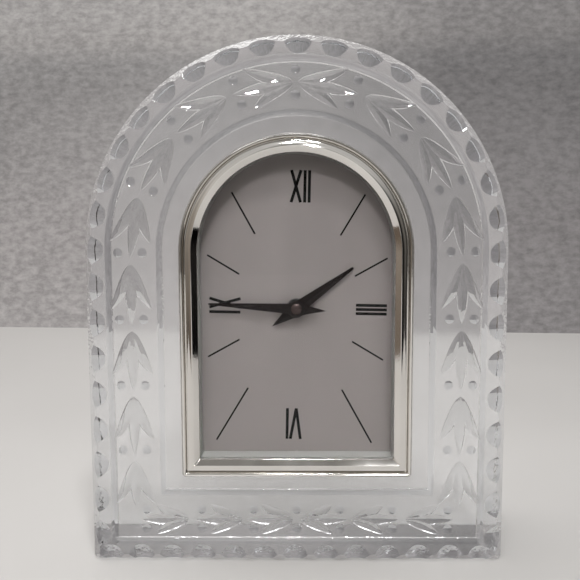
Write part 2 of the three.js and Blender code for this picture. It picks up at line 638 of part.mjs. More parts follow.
function movementFront() {
  const plate = box(-HALF_MOVEMENT, HALF_MOVEMENT, PLATE_FRONT, PLATE_BACK, MOVEMENT_BOTTOM_Z,
    MOVEMENT_TOP_Z);
  const ears = screwPlaces.map(([x, z]) => {
    const above = z > HUB_Z;
    const web = box(x - EAR_RADIUS, x + EAR_RADIUS, PLATE_FRONT, PLATE_BACK,
      above ? MOVEMENT_TOP_Z - EAR_RISE : z, above ? z : MOVEMENT_BOTTOM_Z + EAR_RISE);
    const riser = box(x - EAR_RADIUS, x + EAR_RADIUS, PLATE_FRONT, EAR_BACK,
      above ? MOVEMENT_TOP_Z + FIT_GAP : z, above ? z : MOVEMENT_BOTTOM_Z - FIT_GAP);
    return join(web, riser, rod([x, z], EAR_RADIUS, PLATE_FRONT, EAR_BACK));
  });
  const headRooms = screwPlaces.map((place) =>
    rod(place, SCREW_HEAD_RADIUS + FIT_GAP / 2, PLATE_FRONT - 1, EAR_FRONT));
  const holes = screwPlaces.map((place) => rod(place, SCREW_RADIUS + RUNNING_GAP, PLATE_FRONT, EAR_BACK + 1));
  const post = arbor(MINUTE_AXIS, PLATE_FRONT, MINUTE_LAYER + WHEEL_THICKNESS);
  const pivots = [THIRD_AXIS, SETTING_AXIS].map((axis) =>
    pivotHole(axis, PLATE_BACK - PIVOT_DEPTH - SEAT_GAP, PLATE_BACK + 1));
  const hubHole = rod(HUB, HOUR_PIPE_RADIUS + RUNNING_GAP, PLATE_FRONT - 1, PLATE_BACK + 1, 24);
  return cut(join(plate, post, ...ears), ...headRooms, ...holes, ...pivots, hubHole);
}

function movementBack() {
  const inner = HALF_MOVEMENT - CASE_WALL;
  const block = box(-HALF_MOVEMENT, HALF_MOVEMENT, CASE_FRONT, CASE_BACK, MOVEMENT_BOTTOM_Z, MOVEMENT_TOP_Z);
  const chamber = box(-inner, inner, CASE_FRONT - 1, CASE_BACK - CASE_WALL, CHAMBER_FLOOR_Z,
    MOVEMENT_TOP_Z - CASE_WALL);
  const bay = box(-HALF_BAY, HALF_BAY, CASE_FRONT - 1, CASE_BACK + 1, BATTERY_Z - BAY_HALF_HEIGHT,
    BATTERY_Z + BAY_HALF_HEIGHT);
  const stemHole = rod(SETTING_AXIS, STEM_RADIUS + RUNNING_GAP, CASE_BACK - 2 * CASE_WALL, CASE_BACK + 1, 12);
  const wireSlots = [-1, 1].map((side) => {
    const x = side * (HALF_BAY - CONTACT_THICKNESS - FIT_GAP / 2);
    const half = CONTACT_THICKNESS / 2 + FIT_GAP / 2;
    return box(x - half, x + half, CASE_FRONT - 1, CASE_FRONT + CONTACT_SEAT_DEPTH + CONTACT_WIDTH + FIT_GAP,
      BATTERY_Z, CHAMBER_FLOOR_Z + 1);
  });
  return cut(block, chamber, bay, stemHole, ...wireSlots);
}

// Battery and the two strips that touch its ends
const CONTACT_SEAT_DEPTH = (BACK_CASE_DEPTH - CONTACT_WIDTH) / 2;

function alongX(radius, xLow, xHigh, depth, z, sides = 20) {
  const geometry = new THREE.CylinderGeometry(radius, radius, xHigh - xLow, sides);
  geometry.rotateZ(Math.PI / 2);
  geometry.translate((xLow + xHigh) / 2, FRONT_Y + depth, z);
  return toSolid(geometry);
}

function battery() {
  const half = BATTERY_LENGTH / 2;
  const nubEnd = BATTERY_NUB_LENGTH / 2;
  const cell = alongX(BATTERY_RADIUS, -half - nubEnd, half - nubEnd, BATTERY_DEPTH, BATTERY_Z);
  const nub = alongX(BATTERY_NUB_RADIUS, half - 2 * nubEnd, half + nubEnd, BATTERY_DEPTH, BATTERY_Z);
  return join(cell, nub);
}

// A strip on the bay's end wall, rising through its slot into the chamber, with a foot on the board's level
function batteryContact(side) {
  const x = side * (HALF_BAY - CONTACT_THICKNESS - FIT_GAP / 2);
  const half = CONTACT_THICKNESS / 2;
  const front = CASE_FRONT + CONTACT_SEAT_DEPTH;
  const strip = box(x - half, x + half, front, front + CONTACT_WIDTH, BATTERY_Z - BATTERY_RADIUS / 2,
    CHAMBER_FLOOR_Z + CONTACT_WIDTH);
  const dimple = alongX(CONTACT_THICKNESS * 4, Math.min(x, x - side * CONTACT_THICKNESS * 1.5),
    Math.max(x, x - side * CONTACT_THICKNESS * 1.5), front + CONTACT_WIDTH / 2, BATTERY_Z, 12);
  return join(strip, dimple);
}

// Wheels: pointed teeth on a disc, each phase set so that a tooth meets the gap of the wheel it drives
function gearOutline(axis, teeth, module, phase) {
  const pitch = (2 * Math.PI) / teeth;
  const root = module * (teeth / 2 - DEDENDUM);
  const tip = module * (teeth / 2 + ADDENDUM);
  const points = [];
  for (let i = 0; i < teeth; i++) {
    const at = (radius, angle) => [axis[0] + radius * Math.cos(angle), axis[1] + radius * Math.sin(angle)];
    points.push(at(tip, phase + i * pitch), at(root, phase + (i + 0.5) * pitch));
  }
  return points;
}

const gear = (axis, teeth, module, phase, layer) =>
  slab(gearOutline(axis, teeth, module, phase), layer, layer + WHEEL_THICKNESS);

// The phase of a wheel whose gap takes the tooth of a driver with the given phase, in the given direction
function meshedPhase(driverPhase, driverTeeth, teeth, directionDegrees) {
  const direction = THREE.MathUtils.degToRad(directionDegrees);
  return direction + Math.PI + Math.PI / teeth - ((driverPhase - direction) * driverTeeth) / teeth;
}

const CANNON_PHASE = 0;
const MINUTE_WHEEL_PHASE = meshedPhase(CANNON_PHASE, CANNON_TEETH, MINUTE_WHEEL_TEETH, MINUTE_DIRECTION);
const SETTING_PHASE = meshedPhase(MINUTE_WHEEL_PHASE, MINUTE_WHEEL_TEETH, SETTING_TEETH, SETTING_DIRECTION);
const HOUR_WHEEL_PHASE = 0;
const MINUTE_PINION_PHASE =
  meshedPhase(HOUR_WHEEL_PHASE, HOUR_WHEEL_TEETH, MINUTE_PINION_TEETH, MINUTE_DIRECTION);
const CENTRE_WHEEL_PHASE = 0;
const THIRD_PINION_PHASE =
  meshedPhase(CENTRE_WHEEL_PHASE, CENTRE_WHEEL_TEETH, THIRD_PINION_TEETH, THIRD_DIRECTION);
const SECONDS_PINION_PHASE = 0;
const THIRD_WHEEL_PHASE =
  meshedPhase(SECONDS_PINION_PHASE, SECONDS_PINION_TEETH, THIRD_WHEEL_TEETH, THIRD_DIRECTION);
const SECONDS_WHEEL_PHASE = 0;
const STEP_PINION_PHASE =
  meshedPhase(SECONDS_WHEEL_PHASE, SECONDS_WHEEL_TEETH, STEP_PINION_TEETH, STEP_DIRECTION);
const STEP_WHEEL_PHASE = 0;
const ROTOR_PINION_PHASE =
  meshedPhase(STEP_WHEEL_PHASE, STEP_WHEEL_TEETH, ROTOR_PINION_TEETH, ROTOR_DIRECTION);

// Depths of the hands, and the ends of the two pipes that carry them
const HOUR_HAND_BACK = DIAL_FRONT - DIAL_TO_HOUR_HAND;
const HOUR_HAND_FRONT = HOUR_HAND_BACK - HAND_THICKNESS;
const MINUTE_HAND_BACK = HOUR_HAND_FRONT - HAND_SPACING;
const MINUTE_HAND_FRONT = MINUTE_HAND_BACK - HAND_THICKNESS;
const MINUTE_SHOULDER = 0.3;

function minuteArbor() {
  const sleeve = rod(HUB, MINUTE_ARBOR_RADIUS, MINUTE_HAND_BACK + SEAT_GAP, MID_PLATE_FRONT - SEAT_GAP, 20);
  const spigot = rod(HUB, MINUTE_ARBOR_RADIUS - MINUTE_SHOULDER, MINUTE_HAND_FRONT - CAP_HEIGHT / 2,
    MINUTE_HAND_BACK + 1, 20);
  const pinion = gear(HUB, CANNON_TEETH, MOTION_MODULE, CANNON_PHASE, MINUTE_LAYER);
  const pivotBore = pivotHole(HUB, MID_PLATE_FRONT - 2 * PIVOT_DEPTH, MID_PLATE_FRONT + 1);
  return cut(join(sleeve, spigot, pinion), pivotBore);
}

function hourWheel() {
  const bore = MINUTE_ARBOR_RADIUS + RUNNING_GAP;
  const pipe = rod(HUB, HOUR_PIPE_RADIUS, HOUR_HAND_BACK + SEAT_GAP, HOUR_LAYER + WHEEL_THICKNESS, 20);
  const spigot = rod(HUB, HOUR_PIPE_RADIUS - MINUTE_SHOULDER, HOUR_HAND_FRONT, HOUR_HAND_BACK + 1, 20);
  const wheel = gear(HUB, HOUR_WHEEL_TEETH, HOUR_MODULE, HOUR_WHEEL_PHASE, HOUR_LAYER);
  const hole = rod(HUB, bore, HOUR_HAND_FRONT - 1, HOUR_LAYER + WHEEL_THICKNESS + 1, 20);
  return cut(join(pipe, spigot, wheel), hole);
}

const arbor = (axis, depthFront, depthBack) => rod(axis, ARBOR_RADIUS, depthFront, depthBack, 10);

function minuteWheel() {
  const wheels = join(
    gear(MINUTE_AXIS, MINUTE_WHEEL_TEETH, MOTION_MODULE, MINUTE_WHEEL_PHASE, MINUTE_LAYER),
    gear(MINUTE_AXIS, MINUTE_PINION_TEETH, HOUR_MODULE, MINUTE_PINION_PHASE, HOUR_LAYER),
    rod(MINUTE_AXIS, MINUTE_PIPE_RADIUS, HOUR_LAYER, MINUTE_LAYER + WHEEL_THICKNESS, 12));
  return cut(wheels, pivotHole(MINUTE_AXIS, HOUR_LAYER - 1, MINUTE_LAYER + 2));
}

function centreWheel() {
  const wheel = gear(HUB, CENTRE_WHEEL_TEETH, CENTRE_MODULE, CENTRE_WHEEL_PHASE, CENTRE_LAYER);
  return cut(wheel, rod(HUB, MINUTE_ARBOR_RADIUS + RUNNING_GAP, CENTRE_LAYER - 1, CENTRE_LAYER + 2, 20));
}

function thirdWheel() {
  return join(
    gear(THIRD_AXIS, THIRD_PINION_TEETH, CENTRE_MODULE, THIRD_PINION_PHASE, CENTRE_LAYER),
    gear(THIRD_AXIS, THIRD_WHEEL_TEETH, TRAIN_MODULE, THIRD_WHEEL_PHASE, THIRD_LAYER),
    arbor(THIRD_AXIS, PLATE_BACK - PIVOT_DEPTH, BRIDGE_FRONT + PIVOT_DEPTH));
}

function secondsWheel() {
  return join(
    gear(HUB, SECONDS_PINION_TEETH, TRAIN_MODULE, SECONDS_PINION_PHASE, THIRD_LAYER),
    gear(HUB, SECONDS_WHEEL_TEETH, TRAIN_MODULE, SECONDS_WHEEL_PHASE, SECONDS_LAYER),
    arbor(HUB, MID_PLATE_FRONT - PIVOT_DEPTH, BRIDGE_FRONT + PIVOT_DEPTH));
}

function stepWheel() {
  return join(
    gear(STEP_AXIS, STEP_PINION_TEETH, TRAIN_MODULE, STEP_PINION_PHASE, SECONDS_LAYER),
    gear(STEP_AXIS, STEP_WHEEL_TEETH, ROTOR_MODULE, STEP_WHEEL_PHASE, STEP_LAYER),
    arbor(STEP_AXIS, MID_PLATE_BACK - PIVOT_DEPTH, BRIDGE_FRONT + PIVOT_DEPTH));
}

const STATOR_FRONT = THIRD_LAYER + (MAGNET_LENGTH - STATOR_THICKNESS) / 2;

function rotor() {
  return join(
    rod(ROTOR_AXIS, MAGNET_RADIUS, THIRD_LAYER, THIRD_LAYER + MAGNET_LENGTH, 20),
    gear(ROTOR_AXIS, ROTOR_PINION_TEETH, ROTOR_MODULE, ROTOR_PINION_PHASE, STEP_LAYER),
    arbor(ROTOR_AXIS, MID_PLATE_BACK - PIVOT_DEPTH, BRIDGE_FRONT + PIVOT_DEPTH));
}

// Plates that carry the train's pivots, stood off the back case's side walls
const PLATE_LOW_Z = CHAMBER_FLOOR_Z + FIT_GAP;
const PLATE_HIGH_Z = SETTING_AXIS[1] + PLATE_TOP_MARGIN;
const PLATE_LEFT_X = THIRD_AXIS[0] - PLATE_LEFT_MARGIN;
const PLATE_RIGHT_X = ROTOR_AXIS[0] + PLATE_RIGHT_MARGIN;
const POST_RADIUS = 1.1;
const POST_INSET = 2;
const postPlaces = [[PLATE_LEFT_X + POST_INSET, PLATE_LOW_Z + POST_INSET],
  [PLATE_LEFT_X + POST_INSET, PLATE_HIGH_Z - POST_INSET],
  [PLATE_RIGHT_X - POST_INSET, PLATE_HIGH_Z - POST_INSET]];

const stemRoom = (depthFront, depthBack) =>
  rod(SETTING_AXIS, STEM_RADIUS + RUNNING_GAP, depthFront, depthBack, 12);

function midPlate() {
  const plate = box(PLATE_LEFT_X, PLATE_RIGHT_X, MID_PLATE_FRONT, MID_PLATE_BACK, PLATE_LOW_Z, PLATE_HIGH_Z);
  const posts = postPlaces.map((place) => rod(place, POST_RADIUS, PLATE_BACK + SEAT_GAP, MID_PLATE_BACK, 12));
  const through = [HUB, THIRD_AXIS].map((axis) => pivotHole(axis, MID_PLATE_FRONT - 1, MID_PLATE_BACK + 1));
  const blind = [STEP_AXIS, ROTOR_AXIS].map((axis) =>
    pivotHole(axis, MID_PLATE_BACK - PIVOT_DEPTH - SEAT_GAP, MID_PLATE_BACK + 1));
  return cut(join(plate, ...posts), ...through, ...blind, stemRoom(MID_PLATE_FRONT - 1, MID_PLATE_BACK + 1));
}

function bridge() {
  const plate = box(PLATE_LEFT_X, PLATE_RIGHT_X, BRIDGE_FRONT, BRIDGE_BACK, PLATE_LOW_Z, PLATE_HIGH_Z);
  const posts = postPlaces.map((place) =>
    rod(place, POST_RADIUS, MID_PLATE_BACK + SEAT_GAP, BRIDGE_BACK, 12));
  const blind = [HUB, THIRD_AXIS, STEP_AXIS, ROTOR_AXIS].map((axis) =>
    pivotHole(axis, BRIDGE_FRONT - 1, BRIDGE_FRONT + PIVOT_DEPTH + SEAT_GAP));
  return cut(join(plate, ...posts), ...blind, stemRoom(BRIDGE_FRONT - 1, BRIDGE_BACK + 1));
}

function settingStem() {
  return join(
    gear(SETTING_AXIS, SETTING_TEETH, MOTION_MODULE, SETTING_PHASE, MINUTE_LAYER),
    arbor(SETTING_AXIS, PLATE_BACK - PIVOT_DEPTH, MINUTE_LAYER + 1),
    rod(SETTING_AXIS, STEM_RADIUS, MINUTE_LAYER, CASE_BACK + FIT_GAP + KNOB_HEIGHT / 2, 12));
}

function settingKnob() {
  const points = [];
  for (let i = 0; i < 2 * KNOB_RIBS; i++) {
    const radius = i % 2 ? KNOB_RADIUS : KNOB_RADIUS - KNOB_RIB_DEPTH;
    points.push(polar(SETTING_AXIS, radius, (180 * i) / KNOB_RIBS));
  }
  const front = CASE_BACK + FIT_GAP;
  const knob = slab(points, front, front + KNOB_HEIGHT);
  const socket = rod(SETTING_AXIS, STEM_RADIUS + SEAT_GAP, front - 1, front + KNOB_HEIGHT / 2 + SEAT_GAP, 12);
  return cut(knob, socket);
}

// Stepping motor: a stator plate round the rotor, its core rod through a bobbin, and the winding on it
const COIL_X = HALF_MOVEMENT - CASE_WALL - COIL_WALL_GAP - COIL_RADIUS;
const COIL_HALF = COIL_LENGTH / 2 + COIL_FLANGE;
const CORE_DEPTH = STATOR_FRONT + STATOR_THICKNESS / 2;

function alongZ(radius, zLow, zHigh, x, depth, sides = 16) {
  const geometry = new THREE.CylinderGeometry(radius, radius, zHigh - zLow, sides);
  geometry.rotateX(Math.PI / 2);
  geometry.translate(x, FRONT_Y + depth, (zLow + zHigh) / 2);
  return toSolid(geometry);
}

function stator() {
  const [x, z] = ROTOR_AXIS;
  const half = STATOR_WIDTH / 2;
  const near = COIL_HALF + FIT_GAP;
  const far = near + STATOR_ARM_WIDTH;
  const inside = COIL_X - COIL_RADIUS - FIT_GAP;
  const tip = COIL_X + COIL_RADIUS;
  const outline = [[x - half, z - half], [inside - STATOR_ARM_WIDTH, z - far], [tip, z - far],
    [tip, z - near], [inside, z - near], [inside, z + near], [tip, z + near], [tip, z + far],
    [inside - STATOR_ARM_WIDTH, z + far], [x - half, z + half]];
  const plate = slab(outline, STATOR_FRONT, STATOR_FRONT + STATOR_THICKNESS);
  return cut(plate, rod(ROTOR_AXIS, MAGNET_RADIUS + FIT_GAP, STATOR_FRONT - 1, STATOR_FRONT + 2, 20));
}

function coilCore() {
  const z = ROTOR_AXIS[1];
  const half = COIL_HALF - FIT_GAP;
  return alongZ(CORE_RADIUS - CORE_GAP, z - half, z + half, COIL_X, CORE_DEPTH, 12);
}

function coilBobbin() {
  const z = ROTOR_AXIS[1];
  const barrel = alongZ(CORE_RADIUS + BARREL_WALL, z - COIL_HALF, z + COIL_HALF, COIL_X, CORE_DEPTH);
  const flanges = [-1, 1].map((end) => {
    const [a, b] = [end * (COIL_HALF - COIL_FLANGE), end * COIL_HALF].sort((p, q) => p - q);
    return alongZ(COIL_RADIUS, z + a, z + b, COIL_X, CORE_DEPTH);
  });
  const bore = alongZ(CORE_RADIUS, z - COIL_HALF - 1, z + COIL_HALF + 1, COIL_X, CORE_DEPTH);
  return cut(join(barrel, ...flanges), bore);
}

function coilWinding() {
  const z = ROTOR_AXIS[1];
  const half = COIL_LENGTH / 2 - SEAT_GAP;
  return cut(alongZ(COIL_RADIUS - WINDING_SETBACK, z - half, z + half, COIL_X, CORE_DEPTH),
    alongZ(CORE_RADIUS + BARREL_WALL + SEAT_GAP, z - half - 1, z + half + 1, COIL_X, CORE_DEPTH));
}

// Circuit board on the back case's inner wall, with the quartz can lying on it
const BOARD_X = -HALF_MOVEMENT + CASE_WALL + FIT_GAP;
const BOARD_Z = MOVEMENT_TOP_Z - CASE_WALL - FIT_GAP - BOARD_HEIGHT;
const BOARD_BACK = CASE_BACK - CASE_WALL - SEAT_GAP;
const BOARD_FRONT = BOARD_BACK - BOARD_THICKNESS;

const circuitBoard = () =>
  box(BOARD_X, BOARD_X + BOARD_WIDTH, BOARD_FRONT, BOARD_BACK, BOARD_Z, BOARD_Z + BOARD_HEIGHT);

const quartzCan = () => {
  const start = BOARD_X + BOARD_MARGIN;
  return alongX(QUARTZ_RADIUS, start, start + QUARTZ_LENGTH, BOARD_FRONT - QUARTZ_RADIUS - SEAT_GAP,
    BOARD_Z + BOARD_MARGIN + QUARTZ_RADIUS, 12);
};

const timerChip = () => {
  const start = BOARD_X + BOARD_WIDTH - BOARD_MARGIN - CHIP_SIZE;
  const bottom = BOARD_Z + BOARD_MARGIN;
  return box(start, start + CHIP_SIZE, BOARD_FRONT - CHIP_HEIGHT - SEAT_GAP, BOARD_FRONT - SEAT_GAP,
    bottom, bottom + CHIP_SIZE);
};

// Hands: long rhombic blades with a round boss, drawn pointing at twelve and turned to the time
function handOutline(length, tail, halfWidth) {
  const swell = 0.22 * length;
  return [[0, -tail], [halfWidth * 0.8, -tail * 0.35], [halfWidth, swell * 0.4], [halfWidth * 0.85, swell],
    [0, length], [-halfWidth * 0.85, swell], [-halfWidth, swell * 0.4], [-halfWidth * 0.8, -tail * 0.35]];
}

function hand(outline, angle, bossRadius, boreRadius, depthFront) {
  const [sin, cos] = [Math.sin(angle), Math.cos(angle)];
  const placed = outline.map(([x, z]) => [HUB[0] + x * cos + z * sin, HUB[1] - x * sin + z * cos]);
  const blade = slab(placed, depthFront, depthFront + HAND_THICKNESS);
  const boss = rod(HUB, bossRadius, depthFront, depthFront + HAND_THICKNESS, 24);
  return cut(join(blade, boss), rod(HUB, boreRadius, depthFront - 1, depthFront + 1, 20));
}

const hourHand = () => hand(handOutline(HOUR_HAND_LENGTH, HOUR_HAND_TAIL, HOUR_HAND_HALF_WIDTH), HOUR_ANGLE,
  HOUR_BOSS_RADIUS, HOUR_PIPE_RADIUS - MINUTE_SHOULDER + SEAT_GAP, HOUR_HAND_FRONT);
const minuteHand = () => hand(handOutline(MINUTE_HAND_LENGTH, MINUTE_HAND_TAIL, MINUTE_HAND_HALF_WIDTH),
  MINUTE_ANGLE, MINUTE_BOSS_RADIUS, MINUTE_ARBOR_RADIUS - MINUTE_SHOULDER + SEAT_GAP, MINUTE_HAND_FRONT);

function handCap() {
  const back = MINUTE_HAND_FRONT - SEAT_GAP;
  const dome = turned(HUB, [[0, back - CAP_HEIGHT], [CAP_RADIUS * 0.6, back - CAP_HEIGHT * 0.9],
    [CAP_RADIUS, back - CAP_HEIGHT * 0.4], [CAP_RADIUS, back], [0, back]], 20);
  return cut(dome, rod(HUB, MINUTE_ARBOR_RADIUS - MINUTE_SHOULDER + SEAT_GAP,
    MINUTE_HAND_FRONT - CAP_HEIGHT / 2 - SEAT_GAP, back + 1, 20));
}

// Assembly
const clock = new THREE.Group();
clock.position.y = (BEZEL_RISE - PANEL_DEPTH) / 2;

function add(name, solid, material) {
  const mesh = new THREE.Mesh(toGeometry(solid), material);
  mesh.name = name;
  clock.add(mesh);
}

add("crystal_body", crystalBody(), crystal);
add("bezel", bezel(), chrome);
add("lens", lens(), lensGlass);
add("dial_surround", dialSurround(), silverDial);
add("dial", dial(), silverDial);
add("insert_housing", housing(), blackPlastic);
add("sealing_ring", sealingRing(), rubber);
screwPlaces.forEach((place, i) => add(`movement_screw_${i + 1}`, movementScrew(place), steel));
add("movement_front_plate", movementFront(), blackPlastic);
add("movement_back_case", movementBack(), blackPlastic);
add("mid_plate", midPlate(), greyPlastic);
add("train_bridge", bridge(), greyPlastic);
add("hour_hand", hourHand(), handMetal);
add("hour_wheel", hourWheel(), whiteNylon);
add("minute_hand", minuteHand(), handMetal);
add("minute_arbor", minuteArbor(), brass);
add("hand_cap", handCap(), handMetal);
add("minute_wheel", minuteWheel(), whiteNylon);
add("setting_stem", settingStem(), whiteNylon);
add("setting_knob", settingKnob(), blackPlastic);
add("centre_wheel", centreWheel(), whiteNylon);
add("third_wheel", thirdWheel(), whiteNylon);
add("seconds_wheel", secondsWheel(), whiteNylon);
add("step_wheel", stepWheel(), whiteNylon);
add("rotor", rotor(), steel);
add("stator", stator(), steel);
add("coil_core", coilCore(), steel);
add("coil_bobbin", coilBobbin(), whiteNylon);
add("coil_winding", coilWinding(), copper);
add("circuit_board", circuitBoard(), boardGreen);
add("timer_chip", timerChip(), blackPlastic);
add("quartz_can", quartzCan(), steel);
add("battery", battery(), batteryWrap);
add("positive_contact", batteryContact(1), steel);
add("negative_contact", batteryContact(-1), steel);

export default clock;
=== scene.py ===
"""Looks for an arched cut-crystal mantel clock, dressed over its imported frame.

The scene is in metres, +Z up, with the dial towards -Y. Shapes are worked out in millimetres.
"""

import math
import random

import bmesh
import bpy
from mathutils import Matrix, Vector


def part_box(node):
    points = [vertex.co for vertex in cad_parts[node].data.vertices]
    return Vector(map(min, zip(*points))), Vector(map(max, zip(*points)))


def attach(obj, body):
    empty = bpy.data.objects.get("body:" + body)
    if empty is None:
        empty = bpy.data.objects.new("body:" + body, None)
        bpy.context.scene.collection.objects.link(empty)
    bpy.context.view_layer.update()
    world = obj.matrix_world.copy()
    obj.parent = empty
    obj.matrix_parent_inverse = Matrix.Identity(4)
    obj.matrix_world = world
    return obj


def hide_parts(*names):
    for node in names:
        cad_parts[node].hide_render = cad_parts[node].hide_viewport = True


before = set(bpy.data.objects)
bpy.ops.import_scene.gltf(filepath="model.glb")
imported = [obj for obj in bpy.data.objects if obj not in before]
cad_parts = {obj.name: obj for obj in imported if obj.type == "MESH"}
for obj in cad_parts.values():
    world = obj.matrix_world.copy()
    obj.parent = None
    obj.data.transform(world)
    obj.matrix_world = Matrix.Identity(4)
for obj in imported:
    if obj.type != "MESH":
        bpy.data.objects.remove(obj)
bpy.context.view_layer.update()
rng = random.Random(7)

MM = 0.001
DOWN = (0.0, -1.0)                               # a direction in (x, z)

# Crystal block. An inset is a distance in from its outline, and a depth is counted back from its front.
HALF = 70.0                                      # half width, and radius of the arch
DEPTH = 50.0
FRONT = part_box("crystal_body")[0][1] / MM        # place of the border's plane
ARCH_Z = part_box("crystal_body")[1][2] / MM - HALF  # height of the arch's centre
BORDER, STEP, DROP, BAND = 5.9, 2.7, 0.7, 14.2   # widths of border and step, a step's drop, width of the band
PANEL_INSET = BORDER + 2 * STEP + BAND
WALL, WALL_TOP = 0.3, 0.38                       # width of a step's steep foot, and the drop above it
SHOULDER_ROWS, SHOULDER_POWER = 8, 1.8
RIM_BEVEL, RIM_EXTRA = 2.4, 0.5                  # front bevel, and the outline's extra width behind it
BACK_BEVEL = 0.2
CORNER, CORNER_LEAST = 1.6, 0.3                  # rounding of the lower corners
FLAT, SLOPE = -0.995, (-0.9, -0.5)               # normal.y of a front plane, and limits for a sloping face
BLOCK_SMOOTH, BEZEL_SMOOTH, BLADE_SMOOTH, CAP_SMOOTH = 12, 28, 15, 40   # degrees
WINDOW_INSET, WINDOW_CORNER = 3.7, 0.5           # the insert's hole, from the bezel's outer edge
RECESS_LID, WINDOW_LID = 3.0, 2.0                # how far a cutter stands out of the face that it cuts
ARCH_STEPS = 180

# Thumb cuts along the front edge
THUMB_REACH, THUMB_HALF = 5.9, 5.5               # how far in from the outline a cut ends, and its half width
THUMB_TILT, FOOT_TILT = 14.5, 26.0               # degrees
TILT_VARY, REACH_VARY = 1.0, 0.15
THUMB_POWER, THUMB_SPREAD = 2.5, 1.3             # how flat its middle is, and the cutter's width as a share
THUMB_LID, THUMB_RUN = 9.0, (-1.5, 26.0)
THUMB_PITCH, THUMB_START, SIDE_THUMBS = 12.2, 0.9, 17
FOOT_PITCH, FOOT_START, FOOT_THUMBS = 10.6, -0.6, 6

# Leaf sprays and dots in the band, placed along a line round the block
LEAF_LINE = 14.8                                 # inset of that line
MIDDLE_LEAF, SIDE_LEAF = (2.0, 0.80), (1.9, 0.76)  # half width and depth
SIDE_BOW, SIDE_TIP_LAG, SIDE_TIP_GAP = 0.8, 0.2, 0.35
# Half widths and depths across a leaf, as shares: a steep rim, then walls that flatten to a ridge line.
LEAF_SECTION = [(-1.1, -0.36), (-0.86, 0.5), (-0.45, 0.8), (0.0, 1.0), (0.45, 0.8), (0.86, 0.5), (1.1, -0.36)]
LEAF_START, LEAF_SPAN = 0.002, 0.996             # shares of a leaf's length, so that its tips aren't points
LEAF_LEAN, LEAF_FULLNESS = 0.85, 0.72            # where a leaf is widest, and how full it is
LEAF_RISE, LEAF_LID = 0.35, 0.35                 # how far its cutter stands out: share of its depth, plus mm
SPRAYS, SPRAY_START, SPRAY_PITCH = 8, 0.8, 22.45
SPRAY_LENGTH, LAST_LENGTH, SPRAY_REACH, SPRAY_SPREAD = 20.0, 16.0, 14.9, 6.7
FOOT_SPRAYS = (1.2, 18.7, 37.3)
FOOT_LENGTH, FOOT_REACH, FOOT_SPREAD = 16.0, 11.0, 5.2
DOT_RADIUS, DOT_BALL = 1.55, 4.5                 # of its rim, and of the ball that ground it
DOT_SPREAD, DOT_TIP, DOT_LID = 1.12, 0.002, 4.0  # its cutter's width as a share, its point and its lid
DOT_ROWS, DOT_SIDES = 10, 48
DOT_LAG, DOT_GAP = 4.0, 4.05                     # behind a spray's tip, and out from the line
FOOT_DOT_START, FOOT_DOT_GAP = 13.6, 3.4         # past a spray's tip, and out from the line
FOOT_DOT_GROWTH = 0.4                            # added to that start with each next spray

# Bezel
BEZEL_RISE, BEZEL_LEDGE, BEZEL_TOP = 3.6, 1.2, 2 * DROP
BEZEL_CORNER, BEZEL_CORNER_LEAST, BEZEL_STEPS, BEZEL_CORNER_STEPS = 1.4, 0.35, 150, 4
# Across its moulded face: inset from its outer edge, and share of its rise.
BEZEL_FACE = [(0.05, 0), (0.0, 0.35), (0.12, 0.58), (0.4, 0.76), (0.8, 0.86), (1.25, 0.86), (1.6, 0.78),
              (1.85, 0.62), (1.95, 0.42), (2.25, 0.40), (2.4, 0.66), (2.55, 0.80), (2.75, 0.84), (3.3, 0.88),
              (3.85, 0.92), (4.1, 0.98), (4.3, 1.0), (4.5, 0.99), (6.2, 0.56), (6.3, 0.50)]
BEZEL_INNER, SKIRT_INNER, SKIRT_OUTER = 6.3, 5.2, 4.2

# Dial printing and hands
HUB_Z = 87.0
DIAL = 8.0                                       # depth of the dial's face
PRINT_TURN = 1.2                                 # degrees clockwise
PRINT_GAP, PRINT_THICKNESS = 0.02, 0.03
NUMERAL_WIDTH, STICK_WIDTH = 1.0, 0.58
NUMERAL_BARS = [(-2.45, 133.9, 0.75, 123.1), (0.75, 133.9, -2.45, 123.1),                            # X
                (2.15, 133.9, 2.15, 123.1), (3.65, 133.9, 3.65, 123.1),                              # II
                (-2.45, 51.9, -2.45, 41.0), (0.6, 51.9, -1.3, 41.0), (0.6, 51.9, 2.2, 41.0),         # VI
                (20.4, 88.45, 31.0, 88.45), (20.4, 87.0, 31.0, 87.0), (20.4, 85.55, 31.0, 85.55),    # III
                (-29.9, 90.0, -19.2, 86.9), (-29.9, 86.9, -19.2, 90.0), (-29.9, 85.3, -19.2, 85.3)]  # IX
STICKS = [(1, 29.1, 45.2), (11, 29.1, 45.2), (2, 22.8, 35.5), (10, 22.8, 35.5),   # hour, inner and outer end
          (4, 22.4, 34.9), (8, 22.4, 34.9), (5, 32.5, 54.1), (7, 32.5, 54.1)]
BOSS_RADIUS, BOSS_HOLE, BOSS_BEVEL, BOSS_SIDES = 2.9, 0.9, 0.18, 64
BOSS_LIFT, RIDGE_LIFT = 0.1, 0.05                # how far a boss and a ridge stand before the hand's box
TAIL_TIP, EDGE_SHARE = 0.03, 0.55                # half width at the tail's end, and where a blade's edge lies
TAIL_NECK, NECK_WIDTH = 0.3, 0.95                # shares of the tail's length and of the blade's half width
WIDEST, TIP_START, TIP_END = 0.10, 0.985, 0.5    # shares of the blade's length, and of its tip's half width
CAP_RADIUS, CAP_RISE, CAP_RIM, CAP_TIP = 1.9, 0.65, 0.05, 0.001
CAP_ROWS, CAP_SIDES = 9, 48

# Places of the sockets of a Mix node, which share their names
COLOUR_A, COLOUR_B, COLOUR_RESULT = 6, 7, 2
FLOAT_A, FLOAT_B, FLOAT_RESULT = 2, 3, 0

